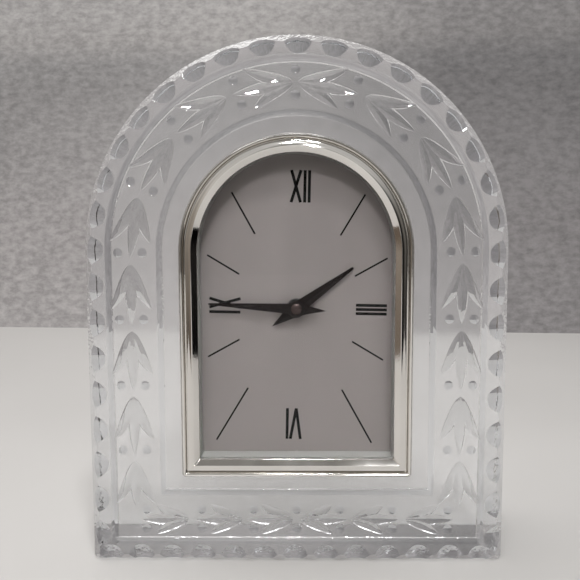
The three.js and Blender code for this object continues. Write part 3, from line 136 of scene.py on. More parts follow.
# Materials
CRYSTAL_IOR, LENS_IOR = 1.54, 1.16
EDGE_ROUNDING = 0.00012
COARSE_TOP = 0.055                               # height at which coarse grinding ends
FINE_RELIEF = 14                                 # how much finer the relief is than the mottling
MILK_WHITE = (0.90, 0.875, 0.87)
# Painted shade: less milk at the crown darkens the top of the block
MILK_SHADED_AT_CROWN = 0.55                             # as a share of the milky share below it
CLEAR_FOOT = 0.04                                # milky share, and roughness, at the foot
FOOT_FADE, CROWN_SHADE_FADE, ROUGH_FADE = (0.006, 0.03), (0.11, 0.15), (0.004, 0.010)   # heights


def grey(value):
    return (value, value, value)


def material(name):
    mat = bpy.data.materials.new(name)
    mat.use_nodes = True
    tree = mat.node_tree
    return mat, tree, tree.nodes["Principled BSDF"], tree.nodes["Material Output"]


def axes(tree, output="Object"):
    coord = tree.nodes.new("ShaderNodeTexCoord")
    split = tree.nodes.new("ShaderNodeSeparateXYZ")
    tree.links.new(coord.outputs[output], split.inputs["Vector"])
    return split.outputs


def noise(tree, scale, detail=4.0, rough=0.55, stretch=(1, 1, 1)):
    coord = tree.nodes.new("ShaderNodeTexCoord")
    mapping = tree.nodes.new("ShaderNodeMapping")
    mapping.inputs["Scale"].default_value = stretch
    tex = tree.nodes.new("ShaderNodeTexNoise")
    tex.inputs["Scale"].default_value = scale
    tex.inputs["Detail"].default_value = detail
    tex.inputs["Roughness"].default_value = rough
    tree.links.new(coord.outputs["Object"], mapping.inputs["Vector"])
    tree.links.new(mapping.outputs["Vector"], tex.inputs["Vector"])
    return tex.outputs["Fac"]


def ramp(tree, source, stops):
    node = tree.nodes.new("ShaderNodeValToRGB")
    while len(node.color_ramp.elements) < len(stops):
        node.color_ramp.elements.new(0.5)
    for element, (place, colour) in zip(node.color_ramp.elements, stops):
        element.position = place
        element.color = (*colour, 1.0)
    tree.links.new(source, node.inputs["Fac"])
    return node.outputs["Color"]


def blended(tree, way, first, second):
    node = tree.nodes.new("ShaderNodeMix")
    node.data_type = "RGBA"
    node.blend_type = way
    node.inputs["Factor"].default_value = 1.0
    tree.links.new(first, node.inputs[COLOUR_A])
    tree.links.new(second, node.inputs[COLOUR_B])
    return node.outputs[COLOUR_RESULT]


def bump(tree, shader, source, strength, distance):
    node = tree.nodes.new("ShaderNodeBump")
    node.inputs["Strength"].default_value = strength
    node.inputs["Distance"].default_value = distance
    tree.links.new(source, node.inputs["Height"])
    tree.links.new(node.outputs["Normal"], shader.inputs["Normal"])
    return node


def surface(name, colour, rough, metal=0.0, vary=0.06, scale=60.0, bump_strength=0.08, bump_distance=0.0001,
            stretch=(1, 1, 1), rough_vary=0.08, coat=0.0, gloss=0.5):
    """A moulded or machined surface: mottled colour and roughness, and a fine relief."""
    mat, tree, shader, _ = material(name)
    tex = noise(tree, scale, stretch=stretch)
    low = tuple(c * (1 - vary) for c in colour)
    high = tuple(min(1.0, c * (1 + vary)) for c in colour)
    tree.links.new(ramp(tree, tex, [(0.3, low), (0.7, high)]), shader.inputs["Base Color"])
    rougher = ramp(tree, tex, [(0.25, grey(max(0.0, rough - rough_vary))),
                               (0.75, grey(min(1.0, rough + rough_vary)))])
    tree.links.new(rougher, shader.inputs["Roughness"])
    shader.inputs["Metallic"].default_value = metal
    shader.inputs["Coat Weight"].default_value = coat
    shader.inputs["Specular IOR Level"].default_value = gloss
    fine = noise(tree, scale * FINE_RELIEF, detail=3.0, stretch=stretch)
    bump(tree, shader, fine, bump_strength, bump_distance)
    return mat


def clear(name, rough, tint, wave, wave_scale, wave_distance, ior=CRYSTAL_IOR, shadow=0.35, milk=0.0,
          faded=False, edge=EDGE_ROUNDING, coarse=0.0):
    """Slightly wavy glass whose shadow lets light through.

    A satin finish is part milky white, and a faded one is clearer at the foot, and less milky at the crown as
    painted shade on the top. A coarse one has a stronger relief towards the foot.
    """
    mat, tree, shader, output = material(name)
    shader.inputs["Base Color"].default_value = (*tint, 1.0)
    shader.inputs["Transmission Weight"].default_value = 1.0
    shader.inputs["Roughness"].default_value = rough
    shader.inputs["IOR"].default_value = ior
    wavy = bump(tree, shader, noise(tree, wave_scale, detail=2.0), wave, wave_distance)
    if coarse:
        grind = tree.nodes.new("ShaderNodeMapRange")
        grind.inputs["From Max"].default_value = COARSE_TOP
        grind.inputs["To Min"].default_value = coarse
        grind.inputs["To Max"].default_value = wave
        tree.links.new(axes(tree)["Z"], grind.inputs["Value"])
        tree.links.new(grind.outputs["Result"], wavy.inputs["Strength"])
    if edge:
        rounded = tree.nodes.new("ShaderNodeBevel")
        rounded.samples = 4
        rounded.inputs["Radius"].default_value = edge
        tree.links.new(rounded.outputs["Normal"], wavy.inputs["Normal"])
    lit = shader.outputs["BSDF"]
    if milk:
        white = tree.nodes.new("ShaderNodeBsdfDiffuse")
        white.inputs["Color"].default_value = (*MILK_WHITE, 1.0)
        blend = tree.nodes.new("ShaderNodeMixShader")
        blend.inputs["Fac"].default_value = milk
        if faded:
            height = axes(tree)["Z"]
            # less milk at the crown is painted shade on the top
            share = ramp(tree, height, [(FOOT_FADE[0], grey(CLEAR_FOOT)), (FOOT_FADE[1], grey(milk)),
                                        (CROWN_SHADE_FADE[0], grey(milk)),
                                        (CROWN_SHADE_FADE[1], grey(milk * MILK_SHADED_AT_CROWN))])
            tree.links.new(share, blend.inputs["Fac"])
            rougher = ramp(tree, height, [(ROUGH_FADE[0], grey(CLEAR_FOOT)), (ROUGH_FADE[1], grey(rough))])
            tree.links.new(rougher, shader.inputs["Roughness"])
        tree.links.new(lit, blend.inputs[1])
        tree.links.new(white.outputs["BSDF"], blend.inputs[2])
        lit = blend.outputs["Shader"]
    path = tree.nodes.new("ShaderNodeLightPath")
    factor = tree.nodes.new("ShaderNodeMath")
    factor.operation = "MULTIPLY"
    factor.inputs[1].default_value = shadow
    tree.links.new(path.outputs["Is Shadow Ray"], factor.inputs[0])
    through = tree.nodes.new("ShaderNodeBsdfTransparent")
    mix = tree.nodes.new("ShaderNodeMixShader")
    tree.links.new(factor.outputs["Value"], mix.inputs["Fac"])
    tree.links.new(lit, mix.inputs[1])
    tree.links.new(through.outputs["BSDF"], mix.inputs[2])
    tree.links.new(mix.outputs["Shader"], output.inputs["Surface"])
    return mat


crystal_mat = clear("crystal", 0.01, (0.93, 0.95, 0.975), wave=0.05, wave_scale=18.0, wave_distance=0.0006)
crystal_face_mat = clear("crystal_face", 0.13, (0.96, 0.97, 0.98), wave=0.06, wave_scale=30.0,
                         wave_distance=0.0004, milk=0.17, faded=True)
crystal_cut_mat = clear("crystal_cut", 0.02, (0.90, 0.91, 0.92), wave=0.35, wave_scale=300.0,
                        wave_distance=0.0002, milk=0.02, coarse=0.7)
# Its tint, much darker and bluer than the block's own, is painted shade that darkens the thumb cuts and dots
crystal_ground_mat = clear("crystal_ground", 0.01, (0.78, 0.80, 0.83), wave=0.08, wave_scale=420.0,
                           wave_distance=0.0003, coarse=1.0)
# Painted highlight: whiter, milkier glass for the bright glints along the rim, the steps' feet and the
# leaves' edges
rim_highlight_mat = clear("crystal_rim", 0.08, (0.96, 0.97, 0.98), wave=1.0, wave_scale=420.0,
                        wave_distance=0.0004, milk=0.14)
lens_mat = clear("lens_glass", 0.0, (0.99, 0.99, 0.985), wave=0.01, wave_scale=12.0, wave_distance=0.0001,
                 ior=LENS_IOR, shadow=0.97, edge=0.0)
chrome_mat = surface("chrome", (0.80, 0.78, 0.75), 0.08, metal=1.0, vary=0.04, bump_strength=0.10,
                     bump_distance=0.00005, rough_vary=0.04)
dial_mat = surface("dial_silver", (0.236, 0.213, 0.210), 0.42, metal=0.35, vary=0.03, scale=22,
                   bump_strength=0.05, bump_distance=0.00003, stretch=(6, 1, 0.6))
surround_mat = surface("surround_silver", (0.28, 0.283, 0.27), 0.35, metal=0.2, vary=0.05, scale=30)
ink_mat = surface("dial_ink", (0.004, 0.004, 0.004), 0.3, vary=0.2, scale=300, gloss=0.1)
hand_mat = surface("hand_dark", (0.007, 0.005, 0.005), 0.14, vary=0.15, scale=120, bump_strength=0.03,
                   rough_vary=0.04, gloss=0.15)
cap_mat = surface("cap_dark", (0.06, 0.042, 0.04), 0.25, metal=0.8, vary=0.1, scale=200, bump_strength=0.03)
black_mat = surface("black_plastic", (0.030, 0.031, 0.033), 0.5, vary=0.15, scale=90, bump_strength=0.25)
tub_mat = surface("tub_plastic", (0.55, 0.54, 0.53), 0.45, vary=0.04, scale=90, bump_strength=0.15)
grey_mat = surface("grey_plastic", (0.38, 0.39, 0.41), 0.45, vary=0.05, scale=90)
nylon_mat = surface("white_nylon", (0.78, 0.76, 0.70), 0.38, vary=0.04, scale=150)
rubber_mat = surface("rubber", (0.05, 0.05, 0.05), 0.85, vary=0.15, scale=120, bump_strength=0.3)
brass_mat = surface("brass", (0.70, 0.50, 0.20), 0.25, metal=1.0, vary=0.08, scale=150)
steel_mat = surface("steel", (0.56, 0.57, 0.58), 0.28, metal=1.0, scale=150, stretch=(1, 1, 8))
copper_mat = surface("copper", (0.60, 0.24, 0.11), 0.3, metal=0.9, vary=0.12, stretch=(1, 1, 40))
board_mat = surface("board", (0.045, 0.16, 0.075), 0.4, vary=0.1, scale=80)
battery_mat = surface("battery_wrap", (0.035, 0.075, 0.14), 0.3, metal=0.2, scale=40, coat=0.3)

FINISHES = {
    "lens": lens_mat, "dial": dial_mat, "dial_surround": surround_mat, "insert_housing": tub_mat,
    "sealing_ring": rubber_mat, "movement_front_plate": black_mat, "movement_back_case": black_mat,
    "mid_plate": grey_mat, "train_bridge": grey_mat, "hour_wheel": nylon_mat, "minute_arbor": brass_mat,
    "minute_wheel": nylon_mat, "setting_stem": nylon_mat, "setting_knob": black_mat,
    "centre_wheel": nylon_mat, "third_wheel": nylon_mat, "seconds_wheel": nylon_mat,
    "step_wheel": nylon_mat, "rotor": steel_mat, "stator": steel_mat, "coil_core": steel_mat,
    "coil_bobbin": nylon_mat, "coil_winding": copper_mat, "circuit_board": board_mat,
    "timer_chip": black_mat, "quartz_can": steel_mat, "battery": battery_mat,
    "positive_contact": steel_mat, "negative_contact": steel_mat, "crystal_body": crystal_mat,
    "bezel": chrome_mat, "hour_hand": hand_mat, "minute_hand": hand_mat, "hand_cap": cap_mat,
    **{f"movement_screw_{i}": steel_mat for i in (1, 2, 3, 4)},
}
for node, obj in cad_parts.items():
    for slot in obj.material_slots:
        slot.material = FINISHES[node]


# Meshes
def polar(centre, radius, degrees):
    angle = math.radians(degrees)
    return (centre[0] + radius * math.cos(angle), centre[1] + radius * math.sin(angle))


def arch(half, bottom, corner, segments=120, corner_steps=5):
    """An outline with a round top and square or rounded lower corners, as (x, z) points."""
    def turn(x, z, start):
        if not corner:
            return [(x, z)]
        return [polar((x, z), corner, start + 90 * i / corner_steps) for i in range(corner_steps + 1)]

    return (turn(half - corner, bottom + corner, -90)
            + [polar((0, ARCH_Z), half, 180 * i / segments) for i in range(segments + 1)]
            + turn(-half + corner, bottom + corner, 180))


def circle(centre, radius, y, sides):
    return [(centre[0] + radius * math.cos(2 * math.pi * i / sides), y,
             centre[1] + radius * math.sin(2 * math.pi * i / sides)) for i in range(sides)]


def at(points, depth):
    return [(x, FRONT + depth, z) for x, z in points]


def loft(rings, closed_profile=False):
    """Verts and faces between rings of equal count; each ring is a list of (x, y, z)."""
    count = len(rings[0])
    verts = [p for ring in rings for p in ring]
    faces = []
    for r in range(len(rings) if closed_profile else len(rings) - 1):
        n = (r + 1) % len(rings)
        for i in range(count):
            j = (i + 1) % count
            faces.append((r * count + i, r * count + j, n * count + j, n * count + i))
    if not closed_profile:
        faces.append(tuple(range(count)))
        faces.append(tuple(range((len(rings) - 1) * count, len(rings) * count))[::-1])
    return verts, faces


def joined(parts):
    verts, faces = [], []
    for part_verts, part_faces in parts:
        faces += [tuple(i + len(verts) for i in face) for face in part_faces]
        verts += part_verts
    return verts, faces


def mesh_object(name, verts, faces, mat, smooth=30.0, keep_mm=False):
    mesh = bpy.data.meshes.new(name)
    scale = 1.0 if keep_mm else MM
    mesh.from_pydata([(x * scale, y * scale, z * scale) for x, y, z in verts], [], faces)
    work = bmesh.new()
    work.from_mesh(mesh)
    bmesh.ops.recalc_face_normals(work, faces=work.faces)
    work.to_mesh(mesh)
    work.free()
    mesh.materials.append(mat)
    for polygon in mesh.polygons:
        polygon.use_smooth = True
    mesh.set_sharp_from_angle(angle=math.radians(smooth))
    obj = bpy.data.objects.new(name, mesh)
    bpy.context.scene.collection.objects.link(obj)
    return obj


def apply_modifiers(obj):
    graph = bpy.context.evaluated_depsgraph_get()
    mesh = bpy.data.meshes.new_from_object(obj.evaluated_get(graph), depsgraph=graph)
    obj.modifiers.clear()
    old = obj.data
    obj.data = mesh
    bpy.data.meshes.remove(old)


def shade(obj, smooth):
    for polygon in obj.data.polygons:
        polygon.use_smooth = True
    obj.data.set_sharp_from_angle(angle=math.radians(smooth))
    weighted = obj.modifiers.new("weighted", "WEIGHTED_NORMAL")
    weighted.keep_sharp = True
    weighted.weight = 100
    apply_modifiers(obj)


def cut_away(obj, cutters):
    holder = bpy.data.collections.new("cutters")
    bpy.context.scene.collection.children.link(holder)
    for cutter in cutters:
        bpy.context.scene.collection.objects.unlink(cutter)
        holder.objects.link(cutter)
    modifier = obj.modifiers.new("cut", "BOOLEAN")
    modifier.operation = "DIFFERENCE"
    modifier.operand_type = "COLLECTION"
    modifier.collection = holder
    modifier.solver = "MANIFOLD"
    modifier.material_mode = "TRANSFER"
    apply_modifiers(obj)
    for cutter in cutters:
        bpy.data.objects.remove(cutter)
    bpy.data.collections.remove(holder)


def along(inset, distance, side):
    """A point at an inset, a distance round from the crown, with the outline's outward normal."""
    radius = HALF - inset
    quarter = radius * math.pi / 2
    angle = min(distance / radius, math.pi / 2)
    drop = max(0.0, distance - quarter)
    normal = (side * math.sin(angle), math.cos(angle))
    return (radius * normal[0], ARCH_Z + radius * normal[1] - drop), normal


def shifted(place, outward):
    (x, z), (nx, nz) = place
    return (x + outward * nx, z + outward * nz)


# Crystal
def crystal_block():
    def outline(inset):
        return arch(HALF + RIM_EXTRA - inset, inset, max(CORNER_LEAST, CORNER - inset), ARCH_STEPS)

    rings = [at(outline(RIM_BEVEL), 0), at(outline(0), RIM_BEVEL), at(outline(0), DEPTH - BACK_BEVEL),
             at(outline(BACK_BEVEL), DEPTH)]
    return mesh_object("crystal_cut_block", *loft(rings), crystal_mat, keep_mm=True)


def recess(inset, depth):
    """A cutter for one step down: a rounded shoulder that steepens, and a short steep wall at its foot."""
    def ring(reach, drop):
        return at(arch(HALF - inset - reach, inset + reach, 0, ARCH_STEPS), depth + drop)

    rings = [ring(0, -RECESS_LID)]
    for i in range(SHOULDER_ROWS + 1):
        across = i / SHOULDER_ROWS
        rings.append(ring((STEP - WALL) * across, WALL_TOP * across ** SHOULDER_POWER))
    rings.append(ring(STEP, DROP))
    return mesh_object("recess", *loft(rings), crystal_mat, keep_mm=True)


def window_hole():
    low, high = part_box("bezel")
    outline = arch(high[0] / MM - WINDOW_INSET, low[2] / MM + WINDOW_INSET, WINDOW_CORNER)
    return mesh_object("hole", *loft([at(outline, -WINDOW_LID), at(outline, DEPTH + WINDOW_LID)]),
                       crystal_mat, keep_mm=True)


def thumb(place, slant, steps=20):
    """A groove laid obliquely over the front edge, flat along its run and steeper towards its sides."""
    (x, z), (nx, nz) = place
    tilt = math.radians(slant + rng.uniform(-TILT_VARY, TILT_VARY))
    reach = THUMB_REACH + rng.uniform(-REACH_VARY, REACH_VARY)
    outward, back = Vector((nx, 0, nz)), Vector((0, 1, 0))
    across = outward.cross(back)
    run = outward * math.cos(tilt) + back * math.sin(tilt)
    lift = outward * math.sin(tilt) - back * math.cos(tilt)
    start = Vector((x, FRONT, z)) - outward * reach
    section = []
    for i in range(-steps, steps + 1):
        share = THUMB_SPREAD * i / steps
        section.append((THUMB_HALF * share, reach * math.sin(tilt) * abs(share) ** THUMB_POWER))
    section += [(THUMB_HALF * THUMB_SPREAD, THUMB_LID), (-THUMB_HALF * THUMB_SPREAD, THUMB_LID)]
    rings = [[tuple(start + run * distance + across * v + lift * w) for v, w in section]
             for distance in THUMB_RUN]
    return mesh_object("thumb", *loft(rings), crystal_ground_mat, keep_mm=True)


def thumbs():
    cuts = []
    for i in range(-SIDE_THUMBS, SIDE_THUMBS + 1):
        distance = i * THUMB_PITCH + THUMB_START
        cuts.append(thumb(along(0, abs(distance), math.copysign(1, distance)), THUMB_TILT))
    for i in range(-FOOT_THUMBS, FOOT_THUMBS + 1):
        cuts.append(thumb(((i * FOOT_PITCH + FOOT_START, 0.0), DOWN), FOOT_TILT))
    return cuts


def leaf(tip, end, half_width, depth, bow, sections=16):
    """A pointed groove with a V section, its sides carried up past the surface."""
    (x0, z0), (x1, z1) = tip, end
    length = math.hypot(x1 - x0, z1 - z0)
    ax, az = (x1 - x0) / length, (z1 - z0) / length
    bx, bz = -az, ax
    base = FRONT + DROP
    rim = LEAF_SECTION[-1][0]
    top = base - depth * LEAF_RISE - LEAF_LID
    rings = []
    for i in range(sections + 1):
        t = LEAF_START + LEAF_SPAN * i / sections
        swell = math.sin(math.pi * t ** LEAF_LEAN) ** LEAF_FULLNESS
        shift = bow * math.sin(math.pi * t)
        w, d = half_width * swell, depth * swell
        cx, cz = x0 + ax * length * t + bx * shift, z0 + az * length * t + bz * shift
        ring = [(cx + bx * w * u, base + d * sink, cz + bz * w * u) for u, sink in LEAF_SECTION]
        ring.append((cx + bx * w * rim, top, cz + bz * w * rim))
        ring.append((cx - bx * w * rim, top, cz - bz * w * rim))
        rings.append(ring)
    return mesh_object("leaf", *loft(rings), crystal_cut_mat, keep_mm=True)


def dot(point):
    """A round hollow, ground by a ball into the band."""
    level = math.sqrt(DOT_BALL ** 2 - DOT_RADIUS ** 2)
    reach = DOT_RADIUS * DOT_SPREAD
    rings = []
    for i in range(DOT_ROWS + 1):
        radius = max(DOT_TIP, reach * i / DOT_ROWS)
        depth = DROP + math.sqrt(DOT_BALL ** 2 - radius ** 2) - level
        rings.append(circle(point, radius, FRONT + depth, DOT_SIDES))
    rings.append([(x, FRONT + DROP - DOT_LID, z) for x, _, z in rings[-1]])
    return mesh_object("dot", *loft(rings), crystal_ground_mat, keep_mm=True)


def dots(place, gap):
    return [dot(shifted(place, hand * gap)) for hand in (1, -1)]


def spray(place, start, length, reach, spread, side):
    """A middle leaf and a bowed leaf on either hand, from one tip on a line of places."""
    pieces = [leaf(place(start)[0], place(start + length)[0], *MIDDLE_LEAF, 0.0)]
    for hand in (1, -1):
        tip = shifted(place(start + SIDE_TIP_LAG), hand * SIDE_TIP_GAP)
        end = shifted(place(start + reach), hand * spread)
        pieces.append(leaf(tip, end, *SIDE_LEAF, -side * hand * SIDE_BOW))
    return pieces


def ornament():
    pieces = []
    for side in (-1, 1):
        def down_side(distance):
            return along(LEAF_LINE, distance, side)

        def along_foot(distance):
            return (side * distance, LEAF_LINE), DOWN

        for k in range(SPRAYS):
            start = SPRAY_START + SPRAY_PITCH * k
            length = SPRAY_LENGTH if k < SPRAYS - 1 else LAST_LENGTH
            pieces += spray(down_side, start, length, SPRAY_REACH, SPRAY_SPREAD, side)
            if k:
                pieces += dots(down_side(start - DOT_LAG), DOT_GAP)
        for k, start in enumerate(FOOT_SPRAYS):
            pieces += spray(along_foot, start, FOOT_LENGTH, FOOT_REACH, FOOT_SPREAD, -side)
            pieces += dots(along_foot(start + FOOT_DOT_START + FOOT_DOT_GROWTH * k), FOOT_DOT_GAP)
    for hand in (1, -1):
        pieces.append(dot(shifted(along(LEAF_LINE, 0, 1), hand * DOT_GAP)))
        pieces.append(dot((0.0, LEAF_LINE + hand * FOOT_DOT_GAP)))
    return pieces


def finish_faces(obj):
    """Gives front planes a satin finish, and the rim, the steps' feet and the leaves' edges a whiter one as
    painted highlight.
    """
    materials = obj.data.materials
    # the whiter finish is a painted highlight
    satin, white = len(materials), len(materials) + 1
    materials.append(crystal_face_mat)
    materials.append(rim_highlight_mat)
    for polygon in obj.data.polygons:
        finish = materials[polygon.material_index]
        if finish == crystal_mat and polygon.normal.y < FLAT:
            polygon.material_index = satin
        elif finish != crystal_ground_mat and SLOPE[0] < polygon.normal.y < SLOPE[1]:
            polygon.material_index = white


block = crystal_block()
cut_away(block, [recess(BORDER, 0), recess(PANEL_INSET - STEP, DROP), window_hole()])
cut_away(block, thumbs() + ornament())
block.data.transform(Matrix.Scale(MM, 4))
finish_faces(block)
shade(block, BLOCK_SMOOTH)
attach(block, "crystal")
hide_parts("crystal_body")


# Bezel
def bezel_piece():
    low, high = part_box("bezel")
    half, bottom = high[0] / MM, low[2] / MM
    rear = high[1] / MM - FRONT
    profile = [(inset, BEZEL_TOP - BEZEL_RISE * share) for inset, share in BEZEL_FACE]
    profile += [(BEZEL_INNER, BEZEL_TOP - BEZEL_LEDGE), (SKIRT_INNER, BEZEL_TOP - BEZEL_LEDGE),
                (SKIRT_INNER, rear), (SKIRT_OUTER, rear), (SKIRT_OUTER, BEZEL_TOP)]
    rings = [at(arch(half - inset, bottom + inset, max(BEZEL_CORNER_LEAST, BEZEL_CORNER - inset),
                     BEZEL_STEPS, BEZEL_CORNER_STEPS), depth) for inset, depth in profile]
    obj = mesh_object("bezel_frame", *loft(rings, closed_profile=True), chrome_mat, smooth=BEZEL_SMOOTH)
    shade(obj, BEZEL_SMOOTH)
    return obj


bezel = bezel_piece()
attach(bezel, "insert")
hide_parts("bezel")


# Dial printing
def turned(x, z):
    """The printed dial sits very slightly turned about its hub, as in the photograph."""
    turn = math.radians(PRINT_TURN)
    return (x * math.cos(turn) + (z - HUB_Z) * math.sin(turn),
            HUB_Z + (z - HUB_Z) * math.cos(turn) - x * math.sin(turn))


def bar(x0, z0, x1, z1, width):
    (x0, z0), (x1, z1) = turned(x0, z0), turned(x1, z1)
    length = math.hypot(x1 - x0, z1 - z0)
    nx, nz = -(z1 - z0) / length * width / 2, (x1 - x0) / length * width / 2
    corners = [(x0 + nx, z0 + nz), (x1 + nx, z1 + nz), (x1 - nx, z1 - nz), (x0 - nx, z0 - nz)]
    return loft([at(corners, DIAL - PRINT_GAP - PRINT_THICKNESS), at(corners, DIAL - PRINT_GAP)])


def stick(hour, inner, outer):
    dx, dz = math.sin(math.radians(30 * hour)), math.cos(math.radians(30 * hour))
    return bar(inner * dx, HUB_Z + inner * dz, outer * dx, HUB_Z + outer * dz, STICK_WIDTH)


def print_piece(name, bars):
    obj = mesh_object(name, *joined(bars), ink_mat)
    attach(obj, "insert")


print_piece("dial_numerals", [bar(*ends, NUMERAL_WIDTH) for ends in NUMERAL_BARS])
print_piece("dial_sticks", [stick(*row) for row in STICKS])


# Hands
def blade(name, node, length, tail, half_width, tip_half, degrees):
    """A long rhombic blade with a ridge down its middle, a pointed tail and a round boss."""
    low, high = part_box(node)
    back, front = high[1] / MM, low[1] / MM
    edge = front + (back - front) * EDGE_SHARE
    cos, sin = math.cos(math.radians(degrees)), math.sin(math.radians(degrees))

    def put(x, y, z):
        return (x * cos + z * sin, y, HUB_Z - x * sin + z * cos)

    rows = [(-tail, TAIL_TIP), (-tail * TAIL_NECK, half_width * NECK_WIDTH), (length * WIDEST, half_width),
            (length * TIP_START, tip_half), (length, tip_half * TIP_END)]
    rings = [[put(-half, back, z), put(half, back, z), put(half, edge, z), put(0, front - RIDGE_LIFT, z),
              put(-half, edge, z)] for z, half in rows]
    boss = [(BOSS_RADIUS, back), (BOSS_RADIUS, front + RIDGE_LIFT),
            (BOSS_RADIUS - BOSS_BEVEL, front - BOSS_LIFT), (BOSS_HOLE, front - BOSS_LIFT), (BOSS_HOLE, back)]
    boss_rings = [circle((0, HUB_Z), radius, y, BOSS_SIDES) for radius, y in boss]
    parts = [loft(rings), loft(boss_rings, closed_profile=True)]
    return mesh_object(name, *joined(parts), hand_mat, smooth=BLADE_SMOOTH)


def cap_dome():
    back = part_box("hand_cap")[1][1] / MM
    rings = []
    for i in range(CAP_ROWS + 1):
        angle = i / CAP_ROWS * math.pi / 2
        rings.append(circle((0, HUB_Z), CAP_RADIUS * math.sin(angle) + CAP_TIP,
                            back - CAP_RISE * math.cos(angle) - CAP_RIM, CAP_SIDES))
    rings.append(circle((0, HUB_Z), CAP_RADIUS, back, CAP_SIDES))
    return mesh_object("hand_cap_dome", *loft(rings), cap_mat, smooth=CAP_SMOOTH)


hour = blade("hour_hand_blade", "hour_hand", length=23.9, tail=10.2, half_width=2.1, tip_half=0.45,
             degrees=54.2)
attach(hour, "hour_work")
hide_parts("hour_hand")

minute = blade("minute_hand_blade", "minute_hand", length=30.0, tail=10.0, half_width=1.75, tip_half=0.3,
               degrees=273.6)
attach(minute, "minute_work")
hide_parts("minute_hand")

cap = cap_dome()
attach(cap, "minute_work")
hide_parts("hand_cap")


# Table and backdrop, in metres
TABLE = -0.00015                                        # height of the table
TABLE_FRONT, TABLE_REAR = -1.2, 0.7
TABLE_HALF, TABLE_BACK = 0.33, 0.7                      # its half width before and behind the clock
TABLE_WIDENS = (-0.02, 0.15)                            # y between which it widens
BACK_LEFT, BACK_RIGHT = (-0.7, 0.540), (0.7, 0.427)     # where the cloth meets the table
CLOTH_FOOT, CLOTH_TOP, CLOTH_LEAN = -0.001, 1.6, 0.25
# Painted shade by height on the cloth: a lighter top fold and foot, darker between them
CLOTH_SHADE_BY_HEIGHT = [(0.0, (0.415, 0.397, 0.397)), (0.05, (0.388, 0.370, 0.370)),
                   (0.10, (0.356, 0.338, 0.338)), (0.17, (0.311, 0.298, 0.298)),
                   (0.25, (0.262, 0.253, 0.253)), (0.275, (0.279, 0.271, 0.271)),
                   (0.30, (0.352, 0.338, 0.333)), (0.335, (0.378, 0.365, 0.361))]
# Painted shade: the cloth darkens towards the right
CLOTH_SHADE_TO_RIGHT = [(0.0, (1.0, 1.0, 1.0)), (0.16, (0.64, 0.64, 0.65))]
# The pile's own mottling, with painted shade of loose folds mixed in
CLOTH_MOTTLE_AND_FOLD_SHADE = [(0.38, grey(0.78)), (0.62, grey(1.20))]
NAP_SHARE = 0.75


def stage_plane(name, corners, mat):
    mesh = bpy.data.meshes.new(name)
    mesh.from_pydata(corners, [], [tuple(range(len(corners)))])
    mesh.materials.append(mat)
    obj = bpy.data.objects.new(name, mesh)
    bpy.context.scene.collection.objects.link(obj)


def cloth():
    """Short-piled grey cloth with painted shade: lighter top fold and foot, darker between and to the right.
    """
    mat, tree, shader, _ = material("backdrop_grey")
    place = axes(tree)
    # painted shade by height
    colour = ramp(tree, place["Z"], CLOTH_SHADE_BY_HEIGHT)
    # painted shade towards the right
    side = ramp(tree, place["X"], CLOTH_SHADE_TO_RIGHT)
    # broad soft noise: painted shade of loose folds; the fine noise is the pile's own mottling
    fold_shade = noise(tree, 3.2, detail=2.0, rough=0.5, stretch=(1, 1, 1.6))
    nap = noise(tree, 110.0, detail=5.0, rough=0.65, stretch=(1, 1, 1.6))
    value = tree.nodes.new("ShaderNodeMix")
    value.data_type = "FLOAT"
    value.inputs["Factor"].default_value = NAP_SHARE
    tree.links.new(fold_shade, value.inputs[FLOAT_A])
    tree.links.new(nap, value.inputs[FLOAT_B])
    for layer in (side, ramp(tree, value.outputs[FLOAT_RESULT], CLOTH_MOTTLE_AND_FOLD_SHADE)):
        colour = blended(tree, "MULTIPLY", colour, layer)
    tree.links.new(colour, shader.inputs["Base Color"])
    shader.inputs["Roughness"].default_value = 0.95
    return mat


table_mat = surface("table_white", (0.545, 0.53, 0.515), 0.5, vary=0.01, scale=8, bump_strength=0.0)
stage_plane("table_top", [(-TABLE_HALF, TABLE_FRONT, TABLE), (TABLE_HALF, TABLE_FRONT, TABLE),
                          (TABLE_HALF, TABLE_WIDENS[0], TABLE), (TABLE_BACK, TABLE_WIDENS[1], TABLE),
                          (TABLE_BACK, TABLE_REAR, TABLE), (-TABLE_BACK, TABLE_REAR, TABLE),
                          (-TABLE_BACK, TABLE_WIDENS[1], TABLE), (-TABLE_HALF, TABLE_WIDENS[0], TABLE)],
            table_mat)
stage_plane("backdrop", [(*BACK_LEFT, CLOTH_FOOT), (*BACK_RIGHT, CLOTH_FOOT),
                         (BACK_RIGHT[0], BACK_RIGHT[1] + CLOTH_LEAN, CLOTH_TOP),
                         (BACK_LEFT[0], BACK_LEFT[1] + CLOTH_LEAN, CLOTH_TOP)], cloth())


# Room, lights and camera
ROOM_STRENGTH = 0.66
ROOM_BY_HEIGHT = [(0.40, (0.02, 0.02, 0.02)), (0.48, (0.22, 0.205, 0.185)), (0.60, (0.34, 0.32, 0.29)),
                  (0.72, (0.75, 0.74, 0.72)), (0.88, (0.80, 0.79, 0.77)), (0.95, (0.32, 0.31, 0.29)),
                  (1.0, (0.30, 0.29, 0.27))]
ROOM_LEFT = [(0.0, (0.20, 0.15, 0.11)), (0.35, grey(0.0))]
ROOM_RIGHT = [(0.78, grey(1.0)), (0.90, grey(0.10))]
FOCAL, SENSOR = 1.30, 36.0                              # focal length in sensor widths, and that width
CAMERA_X, CAMERA_GAP, CAMERA_Z = 0.0017, 0.2489, 0.1202
PITCH, YAW, ROLL = -5.98, 0.86, -0.22                   # degrees


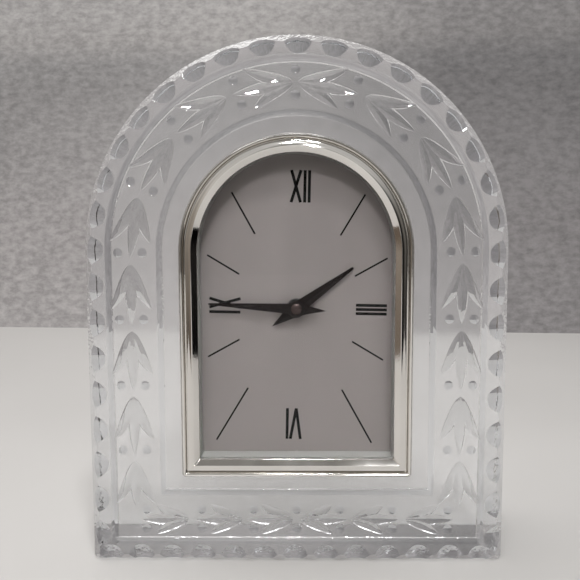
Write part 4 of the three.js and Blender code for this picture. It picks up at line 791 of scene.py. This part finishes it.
def room():
    """A light ceiling, warm dim walls and a dark floor, browner on the left and darker on the right."""
    world = bpy.data.worlds.new("studio")
    bpy.context.scene.world = world
    world.use_nodes = True
    tree = world.node_tree
    background = tree.nodes["Background"]
    direction = axes(tree, "Generated")

    def share(socket):
        node = tree.nodes.new("ShaderNodeMapRange")
        node.inputs["From Min"].default_value = -1.0
        tree.links.new(socket, node.inputs["Value"])
        return node.outputs["Result"]

    colour = blended(tree, "ADD", ramp(tree, share(direction["Z"]), ROOM_BY_HEIGHT),
                     ramp(tree, share(direction["X"]), ROOM_LEFT))
    colour = blended(tree, "MULTIPLY", colour, ramp(tree, share(direction["X"]), ROOM_RIGHT))
    tree.links.new(colour, background.inputs["Color"])
    background.inputs["Strength"].default_value = ROOM_STRENGTH


def area(name, place, target, size, power):
    data = bpy.data.lights.new(name, "AREA")
    data.shape = "RECTANGLE"
    data.size, data.size_y = size
    data.energy = power
    obj = bpy.data.objects.new(name, data)
    obj.location = place
    obj.rotation_euler = (Vector(target) - Vector(place)).to_track_quat("-Z", "Y").to_euler()
    bpy.context.scene.collection.objects.link(obj)


room()
area("ceiling_front", (-0.05, -1.05, 0.85), (0, 0, 0.09), size=(0.08, 0.08), power=3.9)
area("ceiling_middle", (0.15, -0.62, 1.05), (0, 0, 0.09), size=(0.08, 0.08), power=4.4)
area("ceiling_over", (0.0, -0.25, 1.20), (0, 0.05, 0.05), size=(0.12, 0.12), power=3.3)
area("ceiling_back", (-0.12, 0.50, 1.2), (-0.05, 0.42, 0.0), size=(1.6, 0.5), power=9.4)

camera_data = bpy.data.cameras.new("camera")
camera_data.sensor_width = SENSOR
camera_data.lens = SENSOR * FOCAL
camera_data.clip_start = 0.01
camera = bpy.data.objects.new("camera", camera_data)
camera.location = (CAMERA_X, FRONT * MM - CAMERA_GAP, CAMERA_Z)
camera.matrix_world = (Matrix.Translation(camera.location) @ Matrix.Rotation(math.radians(YAW), 4, "Z")
                       @ Matrix.Rotation(math.pi / 2 + math.radians(PITCH), 4, "X")
                       @ Matrix.Rotation(math.radians(ROLL), 4, "Z"))
bpy.context.scene.collection.objects.link(camera)
bpy.context.scene.camera = camera
bpy.context.scene.view_settings.view_transform = "Standard"
